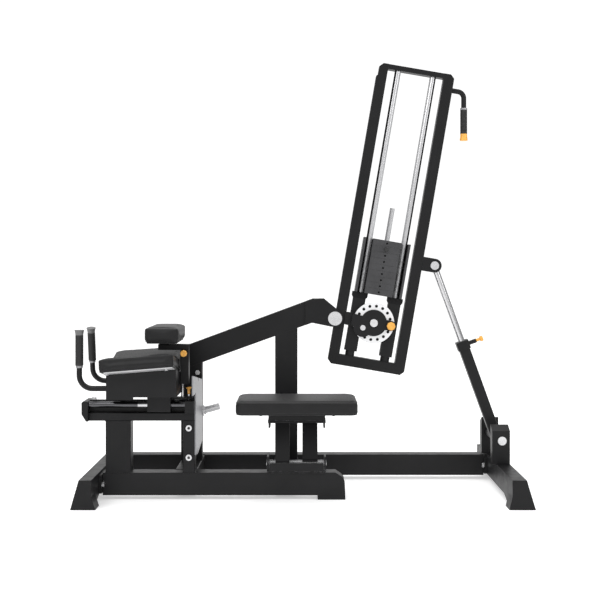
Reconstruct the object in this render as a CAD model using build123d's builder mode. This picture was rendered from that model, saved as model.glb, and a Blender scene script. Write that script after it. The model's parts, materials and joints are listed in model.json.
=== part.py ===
from build123d import *

import os
from math import cos, degrees, hypot, radians, sin

# A plate-stack leg curl with a forearm and chest rest, a kneeling bench and a
# weight tower that leans on a telescopic strut.
# Frame: +X runs along the machine towards the strut, +Y away from the user's
# side, +Z up. The origin is on the floor under the middle of the machine.
# All sizes are in millimetres.

# ---------------------------------------------------------------- driving sizes
LENGTH = 1991          # over the outer edges of the two cross feet
WIDTH = 950            # length of a cross foot
STATION_Y = -225       # middle plane of the bench, the rests and the near rail
TOWER_Y = 80           # middle plane of the boom, the tower and the strut
FAR_RAIL_Y = 240       # middle plane of the far rail
TOWER_LEAN = 9.71      # degrees that the tower leans towards the strut
TOWER_FOOT = (297.3, 551.8)   # middle of the tower's lower edge, X and Z
TOWER_LENGTH = 1450
TOWER_WIDTH = 368

WALL = 4               # wall of the frame tubes
CORNER = 5             # outer corner radius of the frame tubes
RAIL_DEPTH = 80        # rails and near posts, across the machine
RAIL_BOTTOM = 20
RAIL_TOP = 121
FOOT_TOP = 127
RUN_FIT = 0.05         # radial play of a shaft in its bore

LEFT_FACE = -905.5     # inner face of the left foot
RIGHT_FACE = 895       # inner face of the right foot
FLANGE = 12            # thickness of the rail flanges

BOOM_POST_DEPTH = 58   # boom and boom posts, across the machine
COLUMN_WIDTH = 50
COLUMN_DEPTH = 52
CHEEK_THICK = 10
CHEEK_GAP = 3          # between a boom cheek and the tower column

PIN_TRAVEL = 8         # how far a lock pin dips into its hole
PIN_RIDE = 0.5         # height at which a lock pin rides over its index part

os.makedirs("parts", exist_ok=True)


def tube_profile(width, height, wall=WALL, corner=CORNER):
    """Hollow rectangular section, centred on its plane."""
    with BuildSketch() as profile:
        RectangleRounded(width, height, corner)
        RectangleRounded(width - 2 * wall, height - 2 * wall, 1.5, mode=Mode.SUBTRACT)
    return profile.sketch


def outline(*points):
    """Closed face with straight sides through the points."""
    with BuildSketch() as face:
        with BuildLine():
            Polyline(*points, close=True)
        make_face()
    return face.sketch


def upright(y):
    """Plane that faces the user's side, at this Y; its axes are X and Z."""
    return Plane.XZ.offset(-y)


def hinge_plane(x, y, z):
    """Upright plane with its origin on a hinge line that runs along Y."""
    return Plane(origin=(x, y, z), x_dir=(1, 0, 0), z_dir=(0, -1, 0))


# ---------------------------------------------------------------- cross feet
FOOT_ARCH = 32         # clear height under the middle of a foot
TOE = 90               # flared length at each end of a foot
FOOT_SKIN = 6


def cross_foot(inner, outer, shoulder, toe_reach):
    """Cross foot: sloped outer face, arched underside and flared toes."""
    inward = 1 if outer < 0 else -1
    with BuildPart() as foot:
        with BuildSketch(Plane.XZ):
            add(outline((shoulder, FOOT_TOP), (inner, FOOT_TOP), (inner, 0), (outer, 0)))
        extrude(amount=WIDTH / 2, both=True)
        for end in (1, -1):
            with BuildSketch(upright(end * (WIDTH - TOE) / 2)):
                add(outline((inner, 57), (inner + inward * toe_reach, 0), (inner, 0)))
            extrude(amount=TOE / 2, both=True)
        arch = outline((-WIDTH / 2 + TOE, 0), (-WIDTH / 2 + TOE + 110, FOOT_ARCH),
                       (WIDTH / 2 - TOE - 110, FOOT_ARCH), (WIDTH / 2 - TOE, 0))
        with BuildSketch(Plane.YZ):
            add(arch)
        extrude(amount=LENGTH, both=True, mode=Mode.SUBTRACT)
        skin = inward * FOOT_SKIN
        with BuildSketch(Plane.XZ):
            add(outline((shoulder - skin * 0.6, FOOT_TOP - FOOT_SKIN),
                        (inner - skin, FOOT_TOP - FOOT_SKIN),
                        (inner - skin, FOOT_ARCH + FOOT_SKIN),
                        (shoulder + (outer - shoulder) * 0.6 + skin,
                         FOOT_ARCH + FOOT_SKIN)))
        extrude(amount=WIDTH / 2 - FOOT_SKIN, both=True, mode=Mode.SUBTRACT)
    return foot


left_foot = cross_foot(LEFT_FACE, -LENGTH / 2, -959.5, 18)
left_foot.part.label = "left_foot"

right_foot = cross_foot(RIGHT_FACE, LENGTH / 2, 957, 13)
right_foot.part.label = "right_foot"

# ---------------------------------------------------------------- rails
NEAR_RAIL_END = 190
RAIL_START = LEFT_FACE + FLANGE
FAR_RAIL_END = RIGHT_FACE - FLANGE
RAIL_MID = (RAIL_BOTTOM + RAIL_TOP) / 2

with BuildPart() as near_rail:
    with BuildSketch(upright(STATION_Y)):
        with BuildLine():
            Polyline((NEAR_RAIL_END, 0), (65.5, 0), (65.5, RAIL_BOTTOM),
                     (RAIL_START, RAIL_BOTTOM), (RAIL_START, RAIL_TOP), (146, RAIL_TOP))
            Line((146, RAIL_TOP), (166, 108))
            ThreePointArc((166, 108), (182, 92), (187, 74))
            Line((187, 74), (NEAR_RAIL_END, 0))
        make_face()
    extrude(amount=RAIL_DEPTH / 2, both=True)
    with BuildSketch(Plane.YZ.offset(RAIL_START)):
        with Locations((STATION_Y, RAIL_MID)):
            Rectangle(RAIL_DEPTH - 2 * WALL, RAIL_TOP - RAIL_BOTTOM - 2 * WALL)
    extrude(amount=1010, mode=Mode.SUBTRACT)
near_rail.part.label = "near_rail"

with BuildPart() as far_rail:
    with BuildSketch(Plane.YZ.offset(RAIL_START)):
        with Locations((FAR_RAIL_Y, RAIL_MID)):
            add(tube_profile(RAIL_DEPTH, RAIL_TOP - RAIL_BOTTOM))
    extrude(amount=FAR_RAIL_END - RAIL_START)
far_rail.part.label = "far_rail"

FLANGE_REACH = 140     # width of a flange plate, so that its bolts clear the rail
BOLT_REACH = 55        # bolts each side of the rail's middle
FLANGE_PLACES = ((LEFT_FACE, STATION_Y), (LEFT_FACE, FAR_RAIL_Y), (FAR_RAIL_END, FAR_RAIL_Y))

with BuildPart() as rail_flanges:
    for x, y in FLANGE_PLACES:
        with BuildSketch(Plane.YZ.offset(x)):
            with Locations((y, 74)):
                RectangleRounded(FLANGE_REACH, 84, 8)
        extrude(amount=FLANGE)
rail_flanges.part.label = "rail_flanges"

# ---------------------------------------------------------------- ties and posts
MID_POST = (-131.5, -25.5)      # X range of the post under the boom's middle
LEFT_POST = (-578.5, -478.5)    # X range of the post under the boom's left end
NEAR_POSTS = ((-881.5, -768.5), (-535.5, -483))
BEAM_BOTTOM = 352

with BuildPart() as cross_ties:
    for start, stop in (MID_POST, LEFT_POST):
        with BuildSketch(upright(FAR_RAIL_Y - RAIL_DEPTH / 2)):
            with Locations(((start + stop) / 2, RAIL_MID)):
                add(tube_profile(stop - start, RAIL_TOP - RAIL_BOTTOM))
        extrude(amount=FAR_RAIL_Y - STATION_Y - RAIL_DEPTH)
cross_ties.part.label = "cross_ties"

BOOM_LEFT = LEFT_POST[0]
BOOM_TUBE_END = 76.5
BOOM_TOP = 887
BOOM_KNEE = 47.5       # X where the boom's top turns level


def boom_top(x):
    """Height of the boom's sloping top edge."""
    return BOOM_TOP + 0.37 * (x - BOOM_KNEE)


def boom_underside(x):
    """Height of the boom's sloping lower edge."""
    return 773 + 0.361 * (x - 43.5)


with BuildPart() as frame_posts:
    for start, stop in NEAR_POSTS:
        with BuildSketch(Plane.XY.offset(RAIL_TOP)):
            with Locations(((start + stop) / 2, STATION_Y)):
                add(tube_profile(stop - start, RAIL_DEPTH))
        extrude(amount=BEAM_BOTTOM - RAIL_TOP)
    for start, stop in (MID_POST, LEFT_POST):
        with BuildSketch(upright(TOWER_Y)):
            add(outline((start, RAIL_TOP), (stop, RAIL_TOP),
                        (stop, boom_underside(stop)), (start, boom_underside(start))))
        extrude(amount=BOOM_POST_DEPTH / 2, both=True)
        with BuildSketch(upright(TOWER_Y)):
            add(outline((start + WALL, RAIL_TOP), (stop - WALL, RAIL_TOP),
                        (stop - WALL, boom_underside(stop) - 2 * WALL),
                        (start + WALL, boom_underside(start) - 2 * WALL)))
        extrude(amount=BOOM_POST_DEPTH / 2 - WALL, both=True, mode=Mode.SUBTRACT)
frame_posts.part.label = "frame_posts"

# ---------------------------------------------------------------- tower frame of reference
LEAN = radians(TOWER_LEAN)
ACROSS = (cos(LEAN), 0, -sin(LEAN))    # unit vector across the tower
ALONG = (sin(LEAN), 0, cos(LEAN))      # unit vector up the tower
TOWER = Plane(origin=(TOWER_FOOT[0], TOWER_Y, TOWER_FOOT[1]), x_dir=ACROSS, z_dir=(0, -1, 0))


def tower_point(u, w):
    """X and Z of a point given across (u) and up (w) the tower."""
    return (TOWER_FOOT[0] + u * cos(LEAN) + w * sin(LEAN),
            TOWER_FOOT[1] - u * sin(LEAN) + w * cos(LEAN))


def tower_section(w):
    """Plane square to the tower at height w; its axes are u and depth."""
    x, z = tower_point(0, w)
    return Plane(origin=(x, TOWER_Y, z), x_dir=ACROSS, z_dir=ALONG)


PIVOT_UW = (-183, 214)         # hinge of the tower on the boom
DISC_UW = (0, 224.6)           # axle of the index disc
EAR_UW = (242, 541)            # upper end of the strut
PIVOT_X, PIVOT_Z = tower_point(*PIVOT_UW)
EAR_X, EAR_Z = tower_point(*EAR_UW)
HALF_COLUMN = COLUMN_DEPTH / 2
CHEEK_FRONT = HALF_COLUMN + CHEEK_GAP + CHEEK_THICK    # from the tower plane
PIVOT_PIN_R = 12.5
PIVOT_BOSS_R = 30

# ---------------------------------------------------------------- boom
CHEEK_R = 41

with BuildPart() as boom:
    with BuildSketch(upright(TOWER_Y)):
        add(outline((BOOM_LEFT, boom_underside(BOOM_LEFT)), (BOOM_LEFT, boom_top(BOOM_LEFT)),
                    (BOOM_KNEE, BOOM_TOP), (BOOM_TUBE_END, BOOM_TOP),
                    (BOOM_TUBE_END, 768), (43.5, 773)))
    extrude(amount=BOOM_POST_DEPTH / 2, both=True)
    with BuildSketch(upright(TOWER_Y)):
        add(outline((BOOM_LEFT + WALL, boom_underside(BOOM_LEFT) + 2 * WALL),
                    (BOOM_LEFT + WALL, boom_top(BOOM_LEFT) - WALL),
                    (BOOM_KNEE, BOOM_TOP - WALL), (BOOM_TUBE_END - WALL, BOOM_TOP - WALL),
                    (BOOM_TUBE_END - WALL, 773), (43.5, 778)))
    extrude(amount=BOOM_POST_DEPTH / 2 - WALL, both=True, mode=Mode.SUBTRACT)
boom.part.label = "boom"

with BuildPart() as boom_cheeks:
    with BuildSketch(upright(TOWER_Y - CHEEK_FRONT + CHEEK_THICK)):
        add(outline((11.5, boom_top(11.5)), (BOOM_KNEE, BOOM_TOP), (101.5, BOOM_TOP),
                    (172, 829), (PIVOT_X, PIVOT_Z - CHEEK_R), (133.5, 755),
                    (43.5, 773), (11.5, boom_underside(11.5))))
        with Locations((PIVOT_X, PIVOT_Z)):
            Circle(CHEEK_R)
            Circle(PIVOT_PIN_R, mode=Mode.SUBTRACT)
    extrude(amount=CHEEK_THICK)
    mirror(about=upright(TOWER_Y))
boom_cheeks.part.label = "boom_cheeks"

# ---------------------------------------------------------------- strut stand
STRUT_BASE = (920, 235)        # X and Z of the strut's lower axle
STAND_X = (874.5, 956.5)
STAND_GAP = 250                # clear width between the two stand posts
STAND_DEPTH = 50
AXLE_R = 10

with BuildPart() as strut_stand:
    for side in (1, -1):
        near = TOWER_Y + side * STAND_GAP / 2
        far = near + side * STAND_DEPTH
        with BuildSketch(Plane.YZ.offset(STAND_X[0])):
            add(outline((near, FOOT_TOP), (far, FOOT_TOP), (far, 281), (near, 304)))
        extrude(amount=STAND_X[1] - STAND_X[0])
    with BuildSketch(hinge_plane(STRUT_BASE[0], TOWER_Y, STRUT_BASE[1])):
        Circle(AXLE_R)
    extrude(amount=WIDTH, both=True, mode=Mode.SUBTRACT)
strut_stand.part.label = "strut_stand"

# ---------------------------------------------------------------- slide for the rests
BEAM_TOP = 388
BRACKET_TOP = 441
ROD_Z = 425
ROD_R = 14
ROD_SPREAD = 36                # each rod from the station plane
SLIDE_LEFT = (-983.5, -955.5)  # left bracket
SLIDE_RIGHT = (-524.5, -483)   # right bracket
SLIDE_HALF = 65                # half width of the brackets and the carriage
LOCK_X = -512.5                # lock pin of the carriage
LOCK_PITCH = 40
LOCK_HOLE_R = 5.3
LOCK_PIN_R = 5

with BuildPart() as slide_beam:
    with BuildSketch(Plane.YZ.offset(SLIDE_LEFT[1])):
        with Locations((STATION_Y, (BEAM_BOTTOM + BEAM_TOP) / 2)):
            add(tube_profile(RAIL_DEPTH, BEAM_TOP - BEAM_BOTTOM, wall=3, corner=4))
    extrude(amount=SLIDE_RIGHT[1] - SLIDE_LEFT[1])
slide_beam.part.label = "slide_beam"

with BuildPart() as rod_brackets:
    with BuildSketch(upright(STATION_Y)):
        add(outline((SLIDE_LEFT[0], BRACKET_TOP - 6), (SLIDE_LEFT[0] + 6, BRACKET_TOP),
                    (SLIDE_LEFT[1], BRACKET_TOP), (SLIDE_LEFT[1], BEAM_BOTTOM),
                    (SLIDE_LEFT[1] - 8, BEAM_BOTTOM), (SLIDE_LEFT[0], BEAM_TOP - 4)))
        add(outline((SLIDE_RIGHT[0], BRACKET_TOP), (SLIDE_RIGHT[1], BRACKET_TOP),
                    (SLIDE_RIGHT[1], BEAM_TOP), (SLIDE_RIGHT[0], BEAM_TOP)))
    extrude(amount=SLIDE_HALF, both=True)
    with Locations((LOCK_X, STATION_Y, BRACKET_TOP)):
        Hole(LOCK_HOLE_R, depth=20)
rod_brackets.part.label = "rod_brackets"

with BuildPart() as slide_rods:
    with BuildSketch(Plane.YZ.offset(SLIDE_LEFT[1])):
        with Locations((STATION_Y - ROD_SPREAD, ROD_Z), (STATION_Y + ROD_SPREAD, ROD_Z)):
            Circle(ROD_R)
    extrude(amount=SLIDE_RIGHT[0] - SLIDE_LEFT[1])
slide_rods.part.label = "slide_rods"

with BuildPart() as index_bar:
    with BuildSketch(Plane.YZ.offset(SLIDE_LEFT[1])):
        with Locations((STATION_Y, (BEAM_TOP + BRACKET_TOP) / 2)):
            Rectangle(18, BRACKET_TOP - BEAM_TOP)
    extrude(amount=SLIDE_RIGHT[0] - SLIDE_LEFT[1])
    with Locations(*((LOCK_X - LOCK_PITCH * n, STATION_Y, BRACKET_TOP) for n in range(1, 6))):
        Hole(LOCK_HOLE_R, depth=20)
index_bar.part.label = "index_bar"

# ---------------------------------------------------------------- side gusset and peg
with BuildPart() as side_gusset:
    with BuildSketch(Plane.YZ.offset(NEAR_POSTS[1][1])):
        add(outline((-393, 565), (-393, 478), (-265, 478), (-265, 200), (-179, 191),
                    (TOWER_Y - BOOM_POST_DEPTH / 2, 217), (TOWER_Y - BOOM_POST_DEPTH / 2, 505)))
        with Locations((-150, 531)):
            Circle(16, mode=Mode.SUBTRACT)
    extrude(amount=6)
side_gusset.part.label = "side_gusset"

PEG_R = 16
PEG_Z = 352
PEG_RISE = radians(15)
PEG_LENGTH = 84
PEG_COLLAR = 14                # square shoulder at the root of the peg


def peg_plane(along):
    """Plane square to the peg at this distance from the post."""
    return Plane(origin=(LEFT_POST[1] + along * cos(PEG_RISE), TOWER_Y,
                         PEG_Z + along * sin(PEG_RISE)),
                 z_dir=(cos(PEG_RISE), 0, sin(PEG_RISE)))


with BuildPart() as storage_peg:
    with BuildSketch(Plane(origin=(LEFT_POST[1], TOWER_Y, PEG_Z), z_dir=(1, 0, 0))):
        Circle(26)
    extrude(amount=6)
    with BuildSketch(peg_plane(6)):
        Circle(21)
    extrude(amount=PEG_COLLAR - 6)
    with BuildSketch(peg_plane(PEG_COLLAR)):
        Circle(PEG_R)
    extrude(amount=PEG_LENGTH - PEG_COLLAR)
    chamfer(faces().sort_by(Axis.X)[-1].edges(), 2)
storage_peg.part.label = "storage_peg"

# ---------------------------------------------------------------- frame bolts
POST_BOLT_X = -509


def hex_head(plane, size, height, socket=0):
    """Hexagon bolt head, or a round socket head where a socket size is given."""
    with BuildPart() as head:
        with BuildSketch(plane):
            if socket:
                Circle(size / 2)
            else:
                RegularPolygon(size / 2, 6)
        extrude(amount=height)
        if socket:
            with BuildSketch(plane.offset(height)):
                RegularPolygon(socket / 2, 6)
            extrude(amount=-height * 0.6, mode=Mode.SUBTRACT)
    return head.part


bolt_heads = [hex_head(Plane(origin=(POST_BOLT_X, STATION_Y - RAIL_DEPTH / 2, z),
                             x_dir=(1, 0, 0), z_dir=(0, -1, 0)), 27, 9, socket=14)
              for z in (189, 320)]
bolt_heads.append(hex_head(Plane(origin=(-499.5, TOWER_Y - BOOM_POST_DEPTH / 2, 537),
                                 x_dir=(1, 0, 0), z_dir=(0, -1, 0)), 24, 8))
for x, y in FLANGE_PLACES:
    outward = 1 if x < 0 else -1
    face = x + FLANGE if x < 0 else x
    for side in (1, -1):
        bolt_heads.append(hex_head(Plane(origin=(face, y + side * BOLT_REACH, 71),
                                         z_dir=(outward, 0, 0)), 24, 10))
for x in (-945.5, -933.5):
    bolt_heads.append(hex_head(Plane(origin=(x, STATION_Y, BRACKET_TOP)), 10, 12, socket=5))

with BuildPart() as frame_bolts:
    for head in bolt_heads:
        add(head)
frame_bolts.part.label = "frame_bolts"

# ---------------------------------------------------------------- bench linkage
LINK_LEAN = radians(20)
PIN_RISE = 180                 # height between the lower and upper pins
LINK_RUN = PIN_RISE * sin(LINK_LEAN) / cos(LINK_LEAN)
LOW_PIN_Z = 158
LOW_PINS = (-250, -200)        # Y of the front and rear lower pins
LINK_PIN_R = 8
LINK_THICK = 24
LINK_BOSS_R = 15
FRONT_LINK_X = (-122.5, -60.5)
REAR_LINK_X = (-2.5, 66.5)
BASE_X = (-160.5, 102.5)
TOP_X = (-155.5, 100.5)
SEAT_BOTTOM = 390
SIDE_PLATE = 8

with BuildPart() as bench_base:
    with BuildSketch(Plane.XY.offset(RAIL_TOP)):
        with Locations(((BASE_X[0] + BASE_X[1]) / 2, STATION_Y)):
            Rectangle(BASE_X[1] - BASE_X[0] - 20, 96)
    extrude(amount=8)
    with BuildSketch(Plane.XY.offset(RAIL_TOP + 8)):
        with Locations(((BASE_X[0] + BASE_X[1]) / 2, STATION_Y)):
            Rectangle(BASE_X[1] - BASE_X[0], 112)
    extrude(amount=6)
    for x in (BASE_X[0], BASE_X[1] - SIDE_PLATE):
        with BuildSketch(Plane.YZ.offset(x)):
            with Locations((STATION_Y, 162.5)):
                RectangleRounded(112, 61, 8)
            with Locations(*((y, LOW_PIN_Z) for y in LOW_PINS)):
                Circle(LINK_PIN_R, mode=Mode.SUBTRACT)
        extrude(amount=SIDE_PLATE)
    with BuildSketch(upright(STATION_Y - 50)):
        with Locations(((BASE_X[0] + BASE_X[1]) / 2, 150)):
            Rectangle(BASE_X[1] - BASE_X[0] - 20, 32)
    extrude(amount=6)
bench_base.part.label = "bench_base"

AXLE_HALF = STAND_GAP / 2 + STAND_DEPTH
PIN_CAPS = (
    # x, z, radius of the pin, half length, radius and thickness of its caps
    (PIVOT_X, PIVOT_Z, PIVOT_PIN_R, CHEEK_FRONT, 33, 6),
    (*STRUT_BASE, AXLE_R, AXLE_HALF, 20, 5),
)

with BuildPart() as pivot_pins:
    for x, z, radius, half, cap_radius, cap in PIN_CAPS:
        with BuildSketch(hinge_plane(x, TOWER_Y, z)):
            Circle(radius)
        extrude(amount=half, both=True)
        for start in (half, -half - cap):
            with BuildSketch(hinge_plane(x, TOWER_Y - start, z)):
                Circle(cap_radius)
            extrude(amount=cap)
    with BuildSketch(Plane.YZ.offset(BASE_X[0] - 3)):
        with Locations(*((y, LOW_PIN_Z) for y in LOW_PINS)):
            Circle(LINK_PIN_R)
    extrude(amount=BASE_X[1] - BASE_X[0] + 6)
pivot_pins.part.label = "pivot_pins"


def bench_link(x_range, low_y):
    """Link of the bench: a flat bar between two bored bosses."""
    start, stop = x_range
    high_y = low_y + LINK_RUN
    with BuildPart() as link:
        with BuildSketch(Plane.YZ.offset(start)):
            with Locations(Location((low_y + LINK_RUN / 2, LOW_PIN_Z + PIN_RISE / 2),
                                    90 - degrees(LINK_LEAN))):
                Rectangle(hypot(LINK_RUN, PIN_RISE), LINK_THICK)
            with Locations((low_y, LOW_PIN_Z), (high_y, LOW_PIN_Z + PIN_RISE)):
                Circle(LINK_BOSS_R)
                Circle(LINK_PIN_R + RUN_FIT, mode=Mode.SUBTRACT)
        extrude(amount=stop - start)
    return link


bench_front_link = bench_link(FRONT_LINK_X, LOW_PINS[0])
bench_front_link.part.label = "bench_front_link"

bench_rear_link = bench_link(REAR_LINK_X, LOW_PINS[1])
bench_rear_link.part.label = "bench_rear_link"

HIGH_PINS = tuple(y + LINK_RUN for y in LOW_PINS)
HIGH_PIN_Z = LOW_PIN_Z + PIN_RISE
HIGH_PIN_MID = sum(HIGH_PINS) / 2

with BuildPart() as bench_top_bracket:
    with BuildSketch(Plane.XY.offset(SEAT_BOTTOM - 8)):
        with Locations(((TOP_X[0] + TOP_X[1]) / 2, STATION_Y + 25)):
            Rectangle(TOP_X[1] - TOP_X[0], 190)
    extrude(amount=8)
    for x in (TOP_X[0], TOP_X[1] - SIDE_PLATE):
        with BuildSketch(Plane.YZ.offset(x)):
            add(outline((HIGH_PIN_MID - 60, SEAT_BOTTOM - 8), (HIGH_PIN_MID - 44, 311),
                        (HIGH_PIN_MID + 44, 311), (HIGH_PIN_MID + 60, SEAT_BOTTOM - 8)))
            with Locations(*((y, HIGH_PIN_Z) for y in HIGH_PINS)):
                Circle(LINK_PIN_R, mode=Mode.SUBTRACT)
        extrude(amount=SIDE_PLATE)
    with BuildSketch(upright(HIGH_PIN_MID - 52)):
        with Locations(((TOP_X[0] + TOP_X[1]) / 2, 364)):
            Rectangle(TOP_X[1] - TOP_X[0] - 2 * SIDE_PLATE, 36)
    extrude(amount=6)
bench_top_bracket.part.label = "bench_top_bracket"

with BuildPart() as bench_top_pins:
    with BuildSketch(Plane.YZ.offset(TOP_X[0] - 3)):
        with Locations(*((y, HIGH_PIN_Z) for y in HIGH_PINS)):
            Circle(LINK_PIN_R)
    extrude(amount=TOP_X[1] - TOP_X[0] + 6)
bench_top_pins.part.label = "bench_top_pins"

with BuildPart() as bench_cushion:
    with BuildSketch(Plane.XY.offset(SEAT_BOTTOM)):
        with Locations((-27.5, STATION_Y)):
            RectangleRounded(540, 320, 38)
    extrude(amount=58)
    fillet(faces().sort_by(Axis.Z)[-1].edges(), 12)
    fillet(faces().sort_by(Axis.Z)[0].edges(), 6)
bench_cushion.part.label = "bench_cushion"

# ---------------------------------------------------------------- carriage
BLOCK_X = (-691.5, -588.5)
HOUSING_X = (-853.5, -549.5)
HOUSING_Y = (-410, -40)
HOUSING_BOTTOM = 474
LIP_LENGTH = 118               # lips under the housing's two long edges
LIP_THICK = 5
LIP_DROP = 12

with BuildPart() as carriage_block:
    with BuildSketch(Plane.YZ.offset(BLOCK_X[0])):
        with Locations((STATION_Y, (393 + HOUSING_BOTTOM) / 2)):
            RectangleRounded(2 * SLIDE_HALF, HOUSING_BOTTOM - 393, 6)
        with Locations((STATION_Y - ROD_SPREAD, ROD_Z), (STATION_Y + ROD_SPREAD, ROD_Z)):
            Circle(ROD_R + RUN_FIT, mode=Mode.SUBTRACT)
        with Locations((STATION_Y, 415)):
            Rectangle(26, 60, mode=Mode.SUBTRACT)
    extrude(amount=BLOCK_X[1] - BLOCK_X[0])
carriage_block.part.label = "carriage_block"

CUSHION_LENGTH = 322
CUSHION_WIDTH = 232
CUSHION_THICK = 57
BOARD_THICK = 5                # plate under each cushion
CUSHION_X = -718.5
CUSHION_SPREAD = 121           # middle of a cushion from the station plane
CUSHION_TOP = 633.5            # height of the middle of its top
PITCH = radians(4.56)          # rise towards the chest
ROLL = radians(10.7)           # the outer edges stand higher


def cushion_plane(side):
    """Plane in the top of a forearm cushion; side -1 is near, +1 is far."""
    return Plane(origin=(CUSHION_X, STATION_Y + side * CUSHION_SPREAD, CUSHION_TOP),
                 x_dir=(cos(PITCH), 0, sin(PITCH)),
                 z_dir=(-sin(PITCH) * cos(ROLL), -side * cos(PITCH) * sin(ROLL),
                        cos(PITCH) * cos(ROLL)))


def housing_half(side, skin):
    """Half of the pad housing, cut by the underside of its cushion."""
    outer = HOUSING_Y[0] if side < 0 else HOUSING_Y[1]
    with BuildPart() as half:
        with BuildSketch(Plane.XY.offset(HOUSING_BOTTOM + skin)):
            with Locations(((HOUSING_X[0] + HOUSING_X[1]) / 2,
                            (outer - side * skin + STATION_Y) / 2)):
                Rectangle(HOUSING_X[1] - HOUSING_X[0] - 2 * skin,
                          abs(outer - side * skin - STATION_Y))
        extrude(amount=200)
        split(bisect_by=cushion_plane(side).offset(-CUSHION_THICK - BOARD_THICK - skin),
              keep=Keep.BOTTOM)
    return half.part


housing_shells = [housing_half(side, 0) for side in (-1, 1)]
housing_hollows = [housing_half(side, 5) for side in (-1, 1)]

with BuildPart() as pad_housing:
    for shell in housing_shells:
        add(shell)
    for hollow in housing_hollows:
        add(hollow, mode=Mode.SUBTRACT)
    with BuildSketch(Plane.XY.offset(HOUSING_BOTTOM - LIP_DROP)):
        for y in (HOUSING_Y[0] + LIP_THICK / 2, HOUSING_Y[1] - LIP_THICK / 2):
            with Locations((HOUSING_X[0] + LIP_LENGTH / 2, y)):
                Rectangle(LIP_LENGTH, LIP_THICK)
    extrude(amount=LIP_DROP)
pad_housing.part.label = "pad_housing"


with BuildPart() as forearm_cushions:
    for side in (-1, 1):
        with BuildSketch(cushion_plane(side).offset(-CUSHION_THICK)):
            RectangleRounded(CUSHION_LENGTH, CUSHION_WIDTH, 14)
        extrude(amount=CUSHION_THICK)
forearm_cushions.part.label = "forearm_cushions"

BOARD_LENGTH = 298
BOARD_PLACE = 8                # middle of a board from the middle of its cushion
BOARD_WIDTH = CUSHION_WIDTH - 4

with BuildPart() as pad_boards:
    for side in (-1, 1):
        with BuildSketch(cushion_plane(side).offset(-CUSHION_THICK - BOARD_THICK)):
            with Locations((BOARD_PLACE, 0)):
                RectangleRounded(BOARD_LENGTH, BOARD_WIDTH, 8)
        extrude(amount=BOARD_THICK)
pad_boards.part.label = "pad_boards"

# ---------------------------------------------------------------- forearm handles
HANDLE_RUN = 120               # horizontal run out of the housing
HANDLE_Z = 510
HANDLE_TUBE_R = 12
HANDLE_BEND = 57
GRIP_R = 17.5
GRIP_FROM = 100                # start of the grip above the horizontal run
GRIP_TO = 232
CAP_TO = 255
HANDLE_PLACES = ((-385, 0), (-65, radians(12)))   # Y and inward turn of each handle


def handle_plane(y, turn):
    """Plane of a handle: its axes run out of the housing and up the grip."""
    return Plane(origin=(HOUSING_X[0], y, HANDLE_Z), x_dir=(-1, 0, 0),
                 z_dir=(0, cos(turn), sin(turn)))


def grip_section(y, turn, height):
    """Plane square to a handle's grip, at this height above the run."""
    side = handle_plane(y, turn)
    return Plane(origin=side.from_local_coords((HANDLE_RUN, height, 0)),
                 x_dir=side.x_dir, z_dir=side.y_dir)


def bent_tube(plane, points, radius, tube_r):
    """Round tube along straight runs joined by a bend."""
    with BuildPart() as tube:
        with BuildLine(plane) as route:
            FilletPolyline(*points, radius=radius)
        with BuildSketch(Plane(origin=route.line @ 0, z_dir=route.line % 0)):
            Circle(tube_r)
        sweep(path=route.line)
    return tube.part


handle_tubes = [bent_tube(handle_plane(y, turn), ((0, 0), (HANDLE_RUN, 0), (HANDLE_RUN, GRIP_TO)),
                          HANDLE_BEND, HANDLE_TUBE_R) for y, turn in HANDLE_PLACES]

with BuildPart() as forearm_handles:
    for tube in handle_tubes:
        add(tube)
forearm_handles.part.label = "forearm_handles"

with BuildPart() as handle_grips:
    for y, turn in HANDLE_PLACES:
        with BuildSketch(grip_section(y, turn, GRIP_FROM)):
            Circle(GRIP_R)
            Circle(HANDLE_TUBE_R, mode=Mode.SUBTRACT)
        extrude(amount=GRIP_TO - GRIP_FROM)
handle_grips.part.label = "handle_grips"

with BuildPart() as handle_trim:
    for y, turn in HANDLE_PLACES:
        with BuildSketch(grip_section(y, turn, GRIP_FROM - 10)):
            Circle(15)
            Circle(HANDLE_TUBE_R, mode=Mode.SUBTRACT)
        extrude(amount=10)
        with BuildSketch(grip_section(y, turn, GRIP_TO)):
            Circle(GRIP_R)
        with BuildSketch(grip_section(y, turn, CAP_TO)):
            Circle(21)
        loft()
handle_trim.part.label = "handle_trim"

# ---------------------------------------------------------------- chest rest
SOCKET_X = -530.5              # middle of the socket and the post
SOCKET = (38, 50)              # outer size of the socket, X and Y
SOCKET_WALL = 4
SOCKET_Z = (515, 665)
POST_PLAY = 0.3
CHEST_LOCK_Z = 654
CHEST_PIN_R = 4
CHEST_PITCH = 20
CHEST_BARREL = 14
ARM_LEFT = -648.5
ARM_Z = (667, 692)
CHEST_BOTTOM = 710
SOCKET_FRONT = STATION_Y - SOCKET[1] / 2
POST = (SOCKET[0] - 2 * SOCKET_WALL - 2 * POST_PLAY, SOCKET[1] - 2 * SOCKET_WALL - 2 * POST_PLAY)

with BuildPart() as post_socket:
    with BuildSketch(Plane.XY.offset(SOCKET_Z[0])):
        with Locations((SOCKET_X, STATION_Y)):
            add(tube_profile(*SOCKET, wall=SOCKET_WALL, corner=3))
    extrude(amount=SOCKET_Z[1] - SOCKET_Z[0])
    with BuildSketch(hinge_plane(SOCKET_X, SOCKET_FRONT, CHEST_LOCK_Z)):
        Circle(9)
    extrude(amount=CHEST_BARREL)
    with BuildSketch(hinge_plane(SOCKET_X, SOCKET_FRONT + SOCKET_WALL, CHEST_LOCK_Z)):
        Circle(CHEST_PIN_R + RUN_FIT)
    extrude(amount=CHEST_BARREL + SOCKET_WALL, mode=Mode.SUBTRACT)
post_socket.part.label = "post_socket"

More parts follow.
